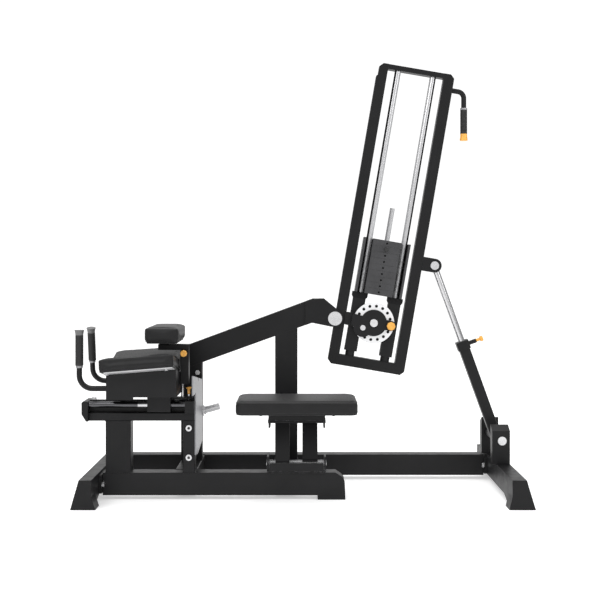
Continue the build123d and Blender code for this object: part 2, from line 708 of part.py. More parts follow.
with BuildPart() as chest_post:
    with BuildSketch(Plane.XY.offset(SOCKET_Z[0] + 5)):
        with Locations((SOCKET_X, STATION_Y)):
            add(tube_profile(*POST, wall=4, corner=2))
    extrude(amount=ARM_Z[0] - SOCKET_Z[0] - 5)
    with BuildSketch(Plane.YZ.offset(ARM_LEFT)):
        with Locations((STATION_Y, sum(ARM_Z) / 2)):
            RectangleRounded(SOCKET[1], ARM_Z[1] - ARM_Z[0], 3)
    extrude(amount=SOCKET_X + SOCKET[0] / 2 - ARM_LEFT)
    with BuildSketch(upright(STATION_Y)):
        with Locations(*((SOCKET_X, CHEST_LOCK_Z - CHEST_PITCH * n) for n in range(5))):
            Circle(CHEST_PIN_R + 0.5)
    extrude(amount=SOCKET[1], mode=Mode.SUBTRACT)
chest_post.part.label = "chest_post"

with BuildPart() as chest_board:
    with BuildSketch(Plane.XY.offset(ARM_Z[1])):
        with Locations((-622, STATION_Y)):
            RectangleRounded(41, 40, 4)
    extrude(amount=CHEST_BOTTOM - 6 - ARM_Z[1])
    with BuildSketch(Plane.XY.offset(CHEST_BOTTOM - 6)):
        with Locations((-618.5, STATION_Y)):
            RectangleRounded(132, 300, 16)
    extrude(amount=6)
chest_board.part.label = "chest_board"

with BuildPart() as chest_cushion:
    with BuildSketch(Plane.XY.offset(CHEST_BOTTOM)):
        with Locations((-618.5, STATION_Y)):
            RectangleRounded(152, 320, 26)
    extrude(amount=61)
    fillet(faces().sort_by(Axis.Z)[-1].edges(), 12)
    fillet(faces().sort_by(Axis.Z)[0].edges(), 5)
chest_cushion.part.label = "chest_cushion"

with BuildPart() as chest_lock_pin:
    tip = STATION_Y - POST[1] / 2 - PIN_RIDE
    with BuildSketch(hinge_plane(SOCKET_X, tip, CHEST_LOCK_Z)):
        Circle(CHEST_PIN_R)
    knob = SOCKET_FRONT - CHEST_BARREL - PIN_TRAVEL - 1
    extrude(amount=tip - knob)
    with BuildSketch(hinge_plane(SOCKET_X, knob, CHEST_LOCK_Z)):
        Circle(15)
    extrude(amount=20)
    fillet(faces().sort_by(Axis.Y)[0].edges(), 4)
chest_lock_pin.part.label = "chest_lock_pin"

# ---------------------------------------------------------------- carriage lock
LOCK_PLATE_Z = (446, 454)
LOCK_BARREL_TOP = 458

with BuildPart() as lock_plate:
    with BuildSketch(Plane.XY.offset(LOCK_PLATE_Z[0])):
        with Locations(((BLOCK_X[1] - 495) / 2, STATION_Y)):
            Rectangle(-495 - BLOCK_X[1], 50)
    extrude(amount=LOCK_PLATE_Z[1] - LOCK_PLATE_Z[0])
    with BuildSketch(Plane.XY.offset(LOCK_PLATE_Z[1])):
        with Locations((LOCK_X, STATION_Y)):
            Circle(9)
    extrude(amount=LOCK_BARREL_TOP - LOCK_PLATE_Z[1])
    with Locations((LOCK_X, STATION_Y, LOCK_BARREL_TOP)):
        Hole(LOCK_PIN_R + RUN_FIT)
lock_plate.part.label = "lock_plate"

with BuildPart() as carriage_lock_pin:
    with BuildSketch(Plane.XY.offset(BRACKET_TOP + PIN_RIDE)):
        with Locations((LOCK_X, STATION_Y)):
            Circle(LOCK_PIN_R)
    extrude(amount=26)
    with BuildSketch(Plane.XY.offset(BRACKET_TOP + PIN_RIDE + 26)):
        with Locations((LOCK_X, STATION_Y)):
            Circle(6.5)
    extrude(amount=22)
    with BuildSketch(Plane.XY.offset(BRACKET_TOP + PIN_RIDE + 48)):
        with Locations((LOCK_X, STATION_Y)):
            Circle(13)
    extrude(amount=9)
    fillet(faces().sort_by(Axis.Z)[-1].edges(), 3)
carriage_lock_pin.part.label = "carriage_lock_pin"

PAD_BOLTS = (-128, 128)        # along a board, from the middle of its cushion
PAD_BOLT_EDGE = 18             # from the board's outer edge

with BuildPart() as pad_bolts:
    for side in (-1, 1):
        outer = side * (BOARD_WIDTH / 2 - PAD_BOLT_EDGE)
        with BuildSketch(cushion_plane(side).offset(-CUSHION_THICK - BOARD_THICK)):
            with Locations((PAD_BOLTS[0], outer), (PAD_BOLTS[1], outer)):
                RegularPolygon(8, 6)
        extrude(amount=-7)
    with BuildSketch(Plane.XY.offset(LOCK_PLATE_Z[1])):
        with Locations((-541, STATION_Y)):
            Circle(6)
    extrude(amount=SOCKET_Z[0] - LOCK_PLATE_Z[1])
pad_bolts.part.label = "pad_bolts"

# ---------------------------------------------------------------- weight tower
HALF_WIDTH = TOWER_WIDTH / 2
INNER = HALF_WIDTH - COLUMN_WIDTH
TOP_BAR = 24
BOTTOM_BAR = 50
COLUMN_WALL = 4
CHAMFER = 18
STEP = 7                       # the left column is thinner above this step
STEP_W = 1385

with BuildPart() as left_column:
    with BuildSketch(TOWER):
        add(outline((-HALF_WIDTH, CHAMFER), (-HALF_WIDTH + CHAMFER, 0), (-INNER, 0),
                    (-INNER, TOWER_LENGTH), (-HALF_WIDTH + STEP + CHAMFER, TOWER_LENGTH),
                    (-HALF_WIDTH + STEP, TOWER_LENGTH - CHAMFER),
                    (-HALF_WIDTH + STEP, STEP_W + STEP), (-HALF_WIDTH, STEP_W)))
        with Locations(PIVOT_UW):
            Circle(PIVOT_BOSS_R)
            Circle(PIVOT_PIN_R + RUN_FIT, mode=Mode.SUBTRACT)
    extrude(amount=HALF_COLUMN, both=True)
    with BuildSketch(TOWER):
        for low, high in ((CHAMFER, 170), (258, TOWER_LENGTH - CHAMFER)):
            with Locations((-HALF_WIDTH + COLUMN_WIDTH / 2 + 3, (low + high) / 2)):
                Rectangle(COLUMN_WIDTH - 6 - 2 * COLUMN_WALL, high - low)
    extrude(amount=HALF_COLUMN - COLUMN_WALL, both=True, mode=Mode.SUBTRACT)
left_column.part.label = "left_column"

with BuildPart() as right_column:
    with BuildSketch(TOWER):
        add(outline((HALF_WIDTH, CHAMFER), (HALF_WIDTH - CHAMFER, 0), (INNER, 0),
                    (INNER, TOWER_LENGTH), (HALF_WIDTH - CHAMFER, TOWER_LENGTH),
                    (HALF_WIDTH, TOWER_LENGTH - CHAMFER)))
    extrude(amount=HALF_COLUMN, both=True)
    with BuildSketch(TOWER):
        with Locations((HALF_WIDTH - COLUMN_WIDTH / 2, TOWER_LENGTH / 2)):
            Rectangle(COLUMN_WIDTH - 2 * COLUMN_WALL, TOWER_LENGTH - 2 * CHAMFER)
    extrude(amount=HALF_COLUMN - COLUMN_WALL, both=True, mode=Mode.SUBTRACT)
right_column.part.label = "right_column"

with BuildPart() as tower_bars:
    for low, high in ((0, BOTTOM_BAR), (TOWER_LENGTH - TOP_BAR, TOWER_LENGTH)):
        with BuildSketch(Plane(origin=TOWER.from_local_coords((-INNER, (low + high) / 2, 0)),
                               x_dir=ALONG, z_dir=ACROSS)):
            add(tube_profile(high - low, COLUMN_DEPTH, corner=3))
        extrude(amount=2 * INNER)
tower_bars.part.label = "tower_bars"

GUIDE_R = 15
GUIDE_SPREAD = 84.5

with BuildPart() as guide_rods:
    with BuildSketch(tower_section(BOTTOM_BAR)):
        with Locations((-GUIDE_SPREAD, 0), (GUIDE_SPREAD, 0)):
            Circle(GUIDE_R)
    extrude(amount=TOWER_LENGTH - TOP_BAR - BOTTOM_BAR)
guide_rods.part.label = "guide_rods"

RISER_HALF = 30
RISER_DEPTH = 22               # half depth
STACK_FROM = 357
PLATE_PITCH = 29.2
PLATE_THICK = 28.7
PLATE_WIDTH = 225
PLATE_DEPTH = 90
NOTCH_R = 17
PLATES = 9
LIFTED = 2                     # plates above the selector pin, with the pinned one
SELECTOR_R = 12

with BuildPart() as stack_risers:
    with BuildSketch(TOWER):
        for u in (-GUIDE_SPREAD, GUIDE_SPREAD):
            add(outline((u - RISER_HALF, 75), (u + RISER_HALF, 75), (u + RISER_HALF, 328),
                        (u + 37, 338), (u + 37, STACK_FROM), (u - 37, STACK_FROM),
                        (u - 37, 338), (u - RISER_HALF, 328)))
    extrude(amount=RISER_DEPTH, both=True)
    with BuildSketch(tower_section(BOTTOM_BAR)):
        with Locations((-GUIDE_SPREAD, 0), (GUIDE_SPREAD, 0)):
            Circle(22)
    extrude(amount=25)
    with BuildSketch(tower_section(BOTTOM_BAR)):
        with Locations((-GUIDE_SPREAD, 0), (GUIDE_SPREAD, 0)):
            Circle(GUIDE_R)
    extrude(amount=STACK_FROM, mode=Mode.SUBTRACT)
stack_risers.part.label = "stack_risers"


def plate_pack(first, last, bore):
    """Weight plates first..last of the stack, counted from the bottom."""
    with BuildPart() as pack:
        for n in range(first, last):
            with BuildSketch(tower_section(STACK_FROM + PLATE_PITCH * n)):
                RectangleRounded(PLATE_WIDTH, PLATE_DEPTH, 4)
                for u in (-GUIDE_SPREAD, GUIDE_SPREAD):
                    with Locations((u, 0)):
                        Circle(NOTCH_R, mode=Mode.SUBTRACT)
                    with Locations((u, -PLATE_DEPTH / 4)):
                        Rectangle(2 * NOTCH_R, PLATE_DEPTH / 2, mode=Mode.SUBTRACT)
                Circle(bore, mode=Mode.SUBTRACT)
            extrude(amount=PLATE_THICK)
        with BuildSketch(TOWER):
            with Locations(*((0, pin_height(n)) for n in range(first, last))):
                Circle(PIN_HOLE_R)
        extrude(amount=PLATE_DEPTH, mode=Mode.SUBTRACT)
    return pack


def pin_height(n):
    """Height of the pin hole of plate n up the tower."""
    return STACK_FROM + PLATE_PITCH * n + PLATE_THICK / 2


PIN_HOLE_R = 4.5
SELECTOR_PIN_R = 4.4

resting_plates = plate_pack(0, PLATES - LIFTED, SELECTOR_R + 1)
resting_plates.part.label = "resting_plates"

lifted_plates = plate_pack(PLATES - LIFTED, PLATES, SELECTOR_R)
lifted_plates.part.label = "lifted_plates"

with BuildPart() as selector_rod:
    with BuildSketch(tower_section(STACK_FROM + 3)):
        Circle(SELECTOR_R)
    extrude(amount=777 - STACK_FROM - 3)
    with BuildSketch(TOWER):
        with Locations(*((0, pin_height(n)) for n in range(PLATES))):
            Circle(PIN_HOLE_R)
    extrude(amount=SELECTOR_R + 1, both=True, mode=Mode.SUBTRACT)
selector_rod.part.label = "selector_rod"

PIN_FRONT = PLATE_DEPTH / 2 + 1

with BuildPart() as selector_pin:
    with BuildSketch(TOWER.offset(1 - SELECTOR_R)):
        with Locations((0, pin_height(PLATES - LIFTED))):
            Circle(SELECTOR_PIN_R)
    extrude(amount=PIN_FRONT + SELECTOR_R - 1)
    with BuildSketch(TOWER.offset(PIN_FRONT)):
        with Locations((0, pin_height(PLATES - LIFTED))):
            Circle(10)
    extrude(amount=18)
    fillet(faces().sort_by(Axis.Y)[0].edges(), 2)
selector_pin.part.label = "selector_pin"

# ---------------------------------------------------------------- index disc
MOUNT_FRONT = 34               # depths in front of the tower plane
DISC_BACK = 38
DISC_THICK = 10
DISC_R = 97.5
HUB_R = 63
HOLE_CIRCLE = 80
DISC_HOLES = 16
HOLE_DEPTH = 8.5               # blind holes, a thin web behind them
SWING_BACK = 54
SWING_THICK = 8
SWING_BARREL = 8

with BuildPart() as disc_mount:
    with BuildSketch(TOWER.offset(HALF_COLUMN)):
        with Locations((-46.5, DISC_UW[1])):
            RectangleRounded(183, 62, 10)
    extrude(amount=MOUNT_FRONT - HALF_COLUMN)
    with BuildSketch(TOWER.offset(MOUNT_FRONT)):
        with Locations(DISC_UW):
            Circle(AXLE_R)
    extrude(amount=30)
    with BuildSketch(TOWER.offset(MOUNT_FRONT + 30)):
        with Locations(DISC_UW):
            Circle(18.5)
    extrude(amount=8)
    fillet(faces().sort_by(Axis.Y)[0].edges(), 2)
    with BuildSketch(TOWER.offset(MOUNT_FRONT + 34)):
        with Locations(DISC_UW):
            RegularPolygon(6, 6)
    extrude(amount=4, mode=Mode.SUBTRACT)
disc_mount.part.label = "disc_mount"

with BuildPart() as index_disc:
    with BuildSketch(TOWER.offset(DISC_BACK)):
        with Locations(DISC_UW):
            Circle(DISC_R)
    extrude(amount=DISC_THICK)
    with BuildSketch(TOWER.offset(DISC_BACK + DISC_THICK - HOLE_DEPTH)):
        with Locations(Location(DISC_UW)):
            with PolarLocations(HOLE_CIRCLE, DISC_HOLES):
                Circle(7)
    extrude(amount=HOLE_DEPTH, mode=Mode.SUBTRACT)
    with BuildSketch(TOWER.offset(DISC_BACK - 3)):
        with Locations(DISC_UW):
            Circle(HUB_R)
    extrude(amount=DISC_THICK + 6)
    with BuildSketch(TOWER.offset(DISC_BACK - 3)):
        with Locations(DISC_UW):
            Circle(AXLE_R + RUN_FIT)
    extrude(amount=DISC_THICK + 6, mode=Mode.SUBTRACT)
index_disc.part.label = "index_disc"

LOBE = (-47.5, -30.5)          # round lobe of the swing plate, from the axle
LOBE_R = 44
ARM_CORNERS = ((-95, 18), (-95, -20))

with BuildPart() as swing_plate:
    with BuildSketch(TOWER.offset(SWING_BACK)):
        with BuildSketch(Plane(DISC_UW), mode=Mode.PRIVATE) as tab:
            with Locations((HOLE_CIRCLE / 2, 0), (HOLE_CIRCLE, 0)):
                Circle(24)
            make_hull()
        with BuildSketch(Plane(DISC_UW), mode=Mode.PRIVATE) as arm:
            with Locations(*ARM_CORNERS):
                Circle(10)
            with Locations((-40, 0)):
                Circle(22)
            make_hull()
        add(tab.sketch)
        add(arm.sketch)
        with Locations(DISC_UW):
            Circle(61)
            with Locations(LOBE):
                Circle(LOBE_R)
        with Locations(DISC_UW):
            Circle(AXLE_R + RUN_FIT, mode=Mode.SUBTRACT)
    extrude(amount=SWING_THICK)
    with BuildSketch(TOWER.offset(SWING_BACK + SWING_THICK)):
        with Locations((HOLE_CIRCLE, DISC_UW[1])):
            Circle(13)
    extrude(amount=SWING_BARREL)
    with BuildSketch(TOWER.offset(SWING_BACK)):
        with Locations((HOLE_CIRCLE, DISC_UW[1])):
            Circle(LOCK_PIN_R + RUN_FIT)
    extrude(amount=SWING_THICK + SWING_BARREL, mode=Mode.SUBTRACT)
    with BuildSketch(TOWER.offset(SWING_BACK + SWING_THICK)):
        with Locations((DISC_UW[0] + LOBE[0], DISC_UW[1] + LOBE[1])):
            Circle(12.5)
    extrude(amount=8)
swing_plate.part.label = "swing_plate"

with BuildPart() as swing_lock_pin:
    tip = DISC_BACK + DISC_THICK + PIN_RIDE
    knob = SWING_BACK + SWING_THICK + SWING_BARREL + PIN_TRAVEL + 1
    with BuildSketch(TOWER.offset(tip)):
        with Locations((HOLE_CIRCLE, DISC_UW[1])):
            Circle(LOCK_PIN_R)
    extrude(amount=knob - tip)
    with BuildSketch(TOWER.offset(knob)):
        with Locations((HOLE_CIRCLE, DISC_UW[1])):
            Circle(20)
    extrude(amount=24)
    fillet(faces().sort_by(Axis.Y)[0].edges(), 5)
swing_lock_pin.part.label = "swing_lock_pin"

# ---------------------------------------------------------------- strut
EAR_R = 33
EAR_THICK = 10
EAR_GAP = 34                   # clear width between the two ears
EYE_R = 27
EYE_BORE = 17                  # wide, because the tower's swing is not quite a circle
EAR_PIN_R = 7
STRUT_LENGTH = hypot(EAR_X - STRUT_BASE[0], EAR_Z - STRUT_BASE[1])
STRUT_AXIS = ((EAR_X - STRUT_BASE[0]) / STRUT_LENGTH, 0, (EAR_Z - STRUT_BASE[1]) / STRUT_LENGTH)
STRUT_SIDE = (STRUT_AXIS[2], 0, -STRUT_AXIS[0])
STRUT_TUBE = 50
STRUT_ROD_R = 16
STRUT_BORE = STRUT_ROD_R + RUN_FIT
COLLAR_END = 477.5
COLLAR_LENGTH = 42
COLLAR = 60
STRUT_LOCK = COLLAR_END - COLLAR_LENGTH / 2
STRUT_BARREL = 37
NECK_R = 7
NECK_RECESS = PIN_TRAVEL + 2   # room in the barrel for the knob's neck
STRUT_PITCH = 27.452           # one hole for each 3 degrees of the tower's lean


def strut_section(along):
    """Plane square to the strut at this distance from its lower axle."""
    return Plane(origin=(STRUT_BASE[0] + along * STRUT_AXIS[0], TOWER_Y,
                         STRUT_BASE[1] + along * STRUT_AXIS[2]),
                 x_dir=STRUT_SIDE, z_dir=STRUT_AXIS)


def strut_side_plane(along, out):
    """Plane square to the lock pin, this far out from the strut's axis."""
    return Plane(origin=strut_section(along).from_local_coords((out, 0, 0)),
                 x_dir=STRUT_AXIS, z_dir=STRUT_SIDE)


with BuildPart() as strut_ears:
    with BuildSketch(TOWER.offset(EAR_GAP / 2)):
        with Locations(((HALF_WIDTH + EAR_UW[0]) / 2, EAR_UW[1])):
            Rectangle(EAR_UW[0] - HALF_WIDTH, 2 * EAR_R)
        with Locations(EAR_UW):
            Circle(EAR_R)
            Circle(EAR_PIN_R, mode=Mode.SUBTRACT)
    extrude(amount=EAR_THICK)
    mirror(about=upright(TOWER_Y))
strut_ears.part.label = "strut_ears"

EAR_FRONT = EAR_GAP / 2 + EAR_THICK

with BuildPart() as strut_top_pin:
    with BuildSketch(TOWER):
        with Locations(EAR_UW):
            Circle(EAR_PIN_R)
    extrude(amount=EAR_FRONT, both=True)
    for start in (EAR_FRONT, -EAR_FRONT - 5):
        with BuildSketch(TOWER.offset(start)):
            with Locations(EAR_UW):
                Circle(20)
        extrude(amount=5)
strut_top_pin.part.label = "strut_top_pin"

with BuildPart() as strut_tube:
    with BuildSketch(strut_section(0)):
        RectangleRounded(STRUT_TUBE, STRUT_TUBE, 6)
    extrude(amount=COLLAR_END - COLLAR_LENGTH)
    with BuildSketch(strut_section(COLLAR_END - COLLAR_LENGTH)):
        RectangleRounded(COLLAR, COLLAR, 8)
    extrude(amount=COLLAR_LENGTH)
    with BuildSketch(hinge_plane(STRUT_BASE[0], TOWER_Y, STRUT_BASE[1])):
        Circle(STRUT_TUBE / 2 + 3)
    extrude(amount=STAND_GAP / 2 - 1, both=True)
    with BuildSketch(strut_side_plane(STRUT_LOCK, COLLAR / 2)):
        Circle(10)
    extrude(amount=STRUT_BARREL)
    with BuildSketch(strut_side_plane(STRUT_LOCK, 0)):
        Circle(LOCK_PIN_R + RUN_FIT)
    extrude(amount=COLLAR / 2 + STRUT_BARREL, mode=Mode.SUBTRACT)
    with BuildSketch(strut_side_plane(STRUT_LOCK, COLLAR / 2 + STRUT_BARREL - NECK_RECESS)):
        Circle(NECK_R + 0.5)
    extrude(amount=NECK_RECESS, mode=Mode.SUBTRACT)
    with BuildSketch(strut_section(40)):
        Circle(STRUT_BORE)
    extrude(amount=COLLAR_END, mode=Mode.SUBTRACT)
    with BuildSketch(hinge_plane(STRUT_BASE[0], TOWER_Y, STRUT_BASE[1])):
        Circle(AXLE_R + RUN_FIT)
    extrude(amount=STAND_GAP, both=True, mode=Mode.SUBTRACT)
strut_tube.part.label = "strut_tube"

with BuildPart() as strut_rod:
    with BuildSketch(strut_section(250)):
        Circle(STRUT_ROD_R)
    extrude(amount=STRUT_LENGTH - 250 - EYE_BORE)
    with BuildSketch(hinge_plane(EAR_X, TOWER_Y, EAR_Z)):
        Circle(EYE_R)
    extrude(amount=15, both=True)
    with BuildSketch(hinge_plane(EAR_X, TOWER_Y, EAR_Z)):
        Circle(EYE_BORE)
    extrude(amount=STRUT_ROD_R, both=True, mode=Mode.SUBTRACT)
    for n in range(-3, 5):
        with BuildSketch(strut_side_plane(STRUT_LOCK + STRUT_PITCH * n, STRUT_ROD_R - 10)):
            Circle(LOCK_HOLE_R)
        extrude(amount=12, mode=Mode.SUBTRACT)
strut_rod.part.label = "strut_rod"

with BuildPart() as strut_lock_pin:
    tip = STRUT_ROD_R + PIN_RIDE
    neck = COLLAR / 2 + STRUT_BARREL - 1
    knob = neck + 19
    with BuildSketch(strut_side_plane(STRUT_LOCK, tip)):
        Circle(LOCK_PIN_R)
    extrude(amount=neck - tip)
    with BuildSketch(strut_side_plane(STRUT_LOCK, neck)):
        Circle(NECK_R)
    extrude(amount=knob - neck)
    with BuildSketch(strut_side_plane(STRUT_LOCK, knob)):
        Circle(13)
    extrude(amount=16)
    fillet(faces().sort_by(Axis.X)[-1].edges(), 4)
strut_lock_pin.part.label = "strut_lock_pin"

# ---------------------------------------------------------------- tower handle
HANDLE_W = 1379                # where the handle leaves the right column
GRIP_X = 768.5
TOWER_GRIP_Z = (1673, 1787)
handle_start = tower_point(HALF_WIDTH, HANDLE_W)
handle_corner = (GRIP_X, handle_start[1] - (GRIP_X - handle_start[0]) * sin(LEAN) / cos(LEAN))
tower_handle_tube = bent_tube(upright(TOWER_Y),
                              (handle_start, handle_corner, (GRIP_X, TOWER_GRIP_Z[0])),
                              32, HANDLE_TUBE_R)

with BuildPart() as tower_handle:
    add(tower_handle_tube)
tower_handle.part.label = "tower_handle"

with BuildPart() as tower_grip:
    with BuildSketch(Plane.XY.offset(TOWER_GRIP_Z[0])):
        with Locations((GRIP_X, TOWER_Y)):
            Circle(16.5)
            Circle(HANDLE_TUBE_R, mode=Mode.SUBTRACT)
    extrude(amount=TOWER_GRIP_Z[1] - TOWER_GRIP_Z[0])
tower_grip.part.label = "tower_grip"

with BuildPart() as tower_grip_trim:
    with BuildSketch(Plane.XY.offset(TOWER_GRIP_Z[1])):
        with Locations((GRIP_X, TOWER_Y)):
            Circle(17)
            Circle(HANDLE_TUBE_R, mode=Mode.SUBTRACT)
    extrude(amount=9)
    with BuildSketch(Plane.XY.offset(1640)):
        with Locations((GRIP_X, TOWER_Y)):
            Circle(19)
    with BuildSketch(Plane.XY.offset(TOWER_GRIP_Z[0])):
        with Locations((GRIP_X, TOWER_Y)):
            Circle(16.5)
    loft()
tower_grip_trim.part.label = "tower_grip_trim"

# ---------------------------------------------------------------- files
pieces = (
    # frame
    left_foot, right_foot, near_rail, far_rail, rail_flanges, cross_ties, frame_posts,
    boom, boom_cheeks, pivot_pins, strut_stand, slide_beam, rod_brackets, slide_rods,
    index_bar, side_gusset, storage_peg, frame_bolts, bench_base,
    # bench
    bench_front_link, bench_rear_link, bench_top_bracket, bench_top_pins, bench_cushion,
    # carriage and chest rest
    carriage_block, pad_housing, pad_boards, forearm_cushions, forearm_handles,
    handle_grips, handle_trim, post_socket, lock_plate, pad_bolts,
    carriage_lock_pin, chest_lock_pin, chest_post, chest_board, chest_cushion,
    # tower
    left_column, right_column, tower_bars, guide_rods, stack_risers, resting_plates,
    disc_mount, strut_ears, strut_top_pin, tower_handle, tower_grip, tower_grip_trim,
    # stack, disc and strut
    lifted_plates, selector_rod, selector_pin, index_disc, swing_plate, swing_lock_pin,
    strut_tube, strut_rod, strut_lock_pin,
)
for piece in pieces:
    export_step(piece.part, f"parts/{piece.part.label}.step")
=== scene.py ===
import json
from math import cos, exp, pi, radians, sin, tau

import bmesh
import bpy
from mathutils import Matrix, Vector
from mathutils.bvhtree import BVHTree


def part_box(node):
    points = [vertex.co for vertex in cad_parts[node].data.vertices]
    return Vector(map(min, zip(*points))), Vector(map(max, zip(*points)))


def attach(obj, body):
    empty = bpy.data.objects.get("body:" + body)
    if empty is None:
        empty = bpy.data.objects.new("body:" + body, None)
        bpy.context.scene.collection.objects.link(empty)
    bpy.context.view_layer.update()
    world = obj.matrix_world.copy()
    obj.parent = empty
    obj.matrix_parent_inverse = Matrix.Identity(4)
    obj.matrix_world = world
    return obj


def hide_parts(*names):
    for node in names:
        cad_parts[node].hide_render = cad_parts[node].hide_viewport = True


# The looks of the plate-stack machine: upholstery, grips, knobs, welds and
# materials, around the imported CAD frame. Lengths are in metres.

MM = 0.001

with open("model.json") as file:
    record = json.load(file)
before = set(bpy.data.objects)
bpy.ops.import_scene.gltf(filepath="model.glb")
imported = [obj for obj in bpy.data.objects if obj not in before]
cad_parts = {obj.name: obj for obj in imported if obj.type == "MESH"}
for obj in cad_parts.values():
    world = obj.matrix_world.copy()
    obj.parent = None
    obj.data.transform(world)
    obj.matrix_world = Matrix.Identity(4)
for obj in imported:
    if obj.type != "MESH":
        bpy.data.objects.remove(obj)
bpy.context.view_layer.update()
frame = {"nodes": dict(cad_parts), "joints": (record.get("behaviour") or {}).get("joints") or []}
nodes = frame["nodes"]
joints = {joint["name"]: joint for joint in frame["joints"]}

X_AXIS = Vector((1, 0, 0))
Y_AXIS = Vector((0, 1, 0))
Z_AXIS = Vector((0, 0, 1))
TOWER_UP = Vector(joints["stack_lift"]["axis"]).normalized()
TOWER_ACROSS = Vector((TOWER_UP.z, 0, -TOWER_UP.x))
DISC_CENTRE = Vector(joints["disc_turn"]["pos_m"])

scene = bpy.context.scene


# ------------------------------------------------------------------ camera
CAMERA_PLACE = (-8.5 * MM, -5.165, 1.052)
CAMERA_LENS = 65.88            # mm, on a sensor 36 mm wide
CAMERA_SHIFT = (-0.0017, -0.06)

camera_data = bpy.data.cameras.new("camera")
camera_data.lens = CAMERA_LENS
camera_data.sensor_width = 36
camera_data.shift_x, camera_data.shift_y = CAMERA_SHIFT
camera = bpy.data.objects.new("camera", camera_data)
camera.location = CAMERA_PLACE
camera.rotation_euler = (pi / 2, 0, 0)
scene.collection.objects.link(camera)
scene.camera = camera


# ------------------------------------------------------------------ materials
class Recipe:
    """A new node material with the few node patterns that this scene needs."""

    def __init__(self, name, color, roughness, metallic=0.0, specular=0.5):
        self.material = bpy.data.materials.new(name)
        self.material.use_nodes = True
        self.tree = self.material.node_tree
        self.shader = self.tree.nodes["Principled BSDF"]
        self.color = color
        self.roughness = roughness
        self.set("Metallic", metallic)
        self.set("Specular IOR Level", specular)
        self.place = self.tree.nodes.new("ShaderNodeTexCoord").outputs["Object"]
        self.normal = None

    def set(self, socket, value):
        self.shader.inputs[socket].default_value = value

    def link(self, source, target):
        self.tree.links.new(source, target)

    def node(self, kind, **values):
        node = self.tree.nodes.new(kind)
        for key, value in values.items():
            setattr(node, key, value)
        return node

    def noise(self, scale, detail=3.0, stretch=None):
        """Noise over the object; stretch scales its space along X, Y and Z."""
        texture = self.node("ShaderNodeTexNoise")
        texture.inputs["Scale"].default_value = scale
        texture.inputs["Detail"].default_value = detail
        place = self.place
        if stretch:
            mapping = self.node("ShaderNodeMapping")
            mapping.inputs["Scale"].default_value = stretch
            self.link(place, mapping.inputs["Vector"])
            place = mapping.outputs["Vector"]
        self.link(place, texture.inputs["Vector"])
        return texture.outputs["Fac"]

    def cells(self, scale):
        """Distance to the nearest edge of a cell pattern."""
        texture = self.node("ShaderNodeTexVoronoi", feature="DISTANCE_TO_EDGE")
        texture.inputs["Scale"].default_value = scale
        self.link(self.place, texture.inputs["Vector"])
        return texture.outputs["Distance"]

    def spread(self, source, low, high, out_low=0.0, out_high=1.0):
        """Maps source from low..high to out_low..out_high, clamped."""
        node = self.node("ShaderNodeMapRange")
        for key, value in (("From Min", low), ("From Max", high),
                           ("To Min", out_low), ("To Max", out_high)):
            node.inputs[key].default_value = value
        self.link(source, node.inputs["Value"])
        return node.outputs["Result"]

    def along(self, direction, low, high):
        """0 before low and 1 after high, measured along a direction of the frame."""
        node = self.node("ShaderNodeVectorMath", operation="DOT_PRODUCT")
        node.inputs[1].default_value = direction
        self.link(self.place, node.inputs[0])
        return self.spread(node.outputs["Value"], low, high)

    def around(self, centre, low, high):
        """0 inside the radius low and 1 outside high, round a line along Y."""
        shift = self.node("ShaderNodeVectorMath", operation="SUBTRACT")
        shift.inputs[1].default_value = centre
        self.link(self.place, shift.inputs[0])
        flat = self.node("ShaderNodeVectorMath", operation="MULTIPLY")
        flat.inputs[1].default_value = (1, 0, 1)
        self.link(shift.outputs["Vector"], flat.inputs[0])
        size = self.node("ShaderNodeVectorMath", operation="LENGTH")
        self.link(flat.outputs["Vector"], size.inputs[0])
        return self.spread(size.outputs["Value"], low, high)

    def mix(self, amount, first, second):
        """Mix of two colours, or of two numbers."""
        is_color = not isinstance(second, (int, float)) or not isinstance(first, (int, float))
        if isinstance(first, bpy.types.NodeSocket):
            is_color = first.type == "RGBA"
        node = self.node("ShaderNodeMix", data_type="RGBA" if is_color else "FLOAT")
        first_input, second_input = (6, 7) if is_color else (2, 3)
        for index, value in ((first_input, first), (second_input, second)):
            if isinstance(value, bpy.types.NodeSocket):
                self.link(value, node.inputs[index])
            else:
                node.inputs[index].default_value = (*value, 1) if is_color else value
        self.link(amount, node.inputs[0])
        return node.outputs[2 if is_color else 0]

    def edges(self, radius):
        """1 on sharp edges of the shape and 0 on its flats; rounds them as well."""
        bevel = self.node("ShaderNodeBevel", samples=4)
        bevel.inputs["Radius"].default_value = radius
        self.normal = bevel.outputs["Normal"]
        geometry = self.node("ShaderNodeNewGeometry")
        dot = self.node("ShaderNodeVectorMath", operation="DOT_PRODUCT")
        self.link(bevel.outputs["Normal"], dot.inputs[0])
        self.link(geometry.outputs["Normal"], dot.inputs[1])
        return self.spread(dot.outputs["Value"], 0.99, 0.8)

    def bump(self, height, strength, distance):
        node = self.node("ShaderNodeBump")
        node.inputs["Strength"].default_value = strength
        node.inputs["Distance"].default_value = distance
        self.link(height, node.inputs["Height"])
        if self.normal:
            self.link(self.normal, node.inputs["Normal"])
        self.normal = node.outputs["Normal"]

    def finish(self):
        for value, socket in ((self.color, "Base Color"), (self.roughness, "Roughness")):
            if isinstance(value, bpy.types.NodeSocket):
                self.link(value, self.shader.inputs[socket])
            else:
                self.set(socket, (*value, 1) if socket == "Base Color" else value)
        if self.normal:
            self.link(self.normal, self.shader.inputs["Normal"])
        return self.material


def steel(level):
    """Neutral light grey with a trace of blue."""
    return level, level, level + 0.01


BLACK = (0.0075, 0.0075, 0.008)
WORN = (0.04, 0.04, 0.042)
# Painted highlight: light grey laid along the edges of the bench's base and bracket.
EDGE_HIGHLIGHT_PAINT = steel(0.3)


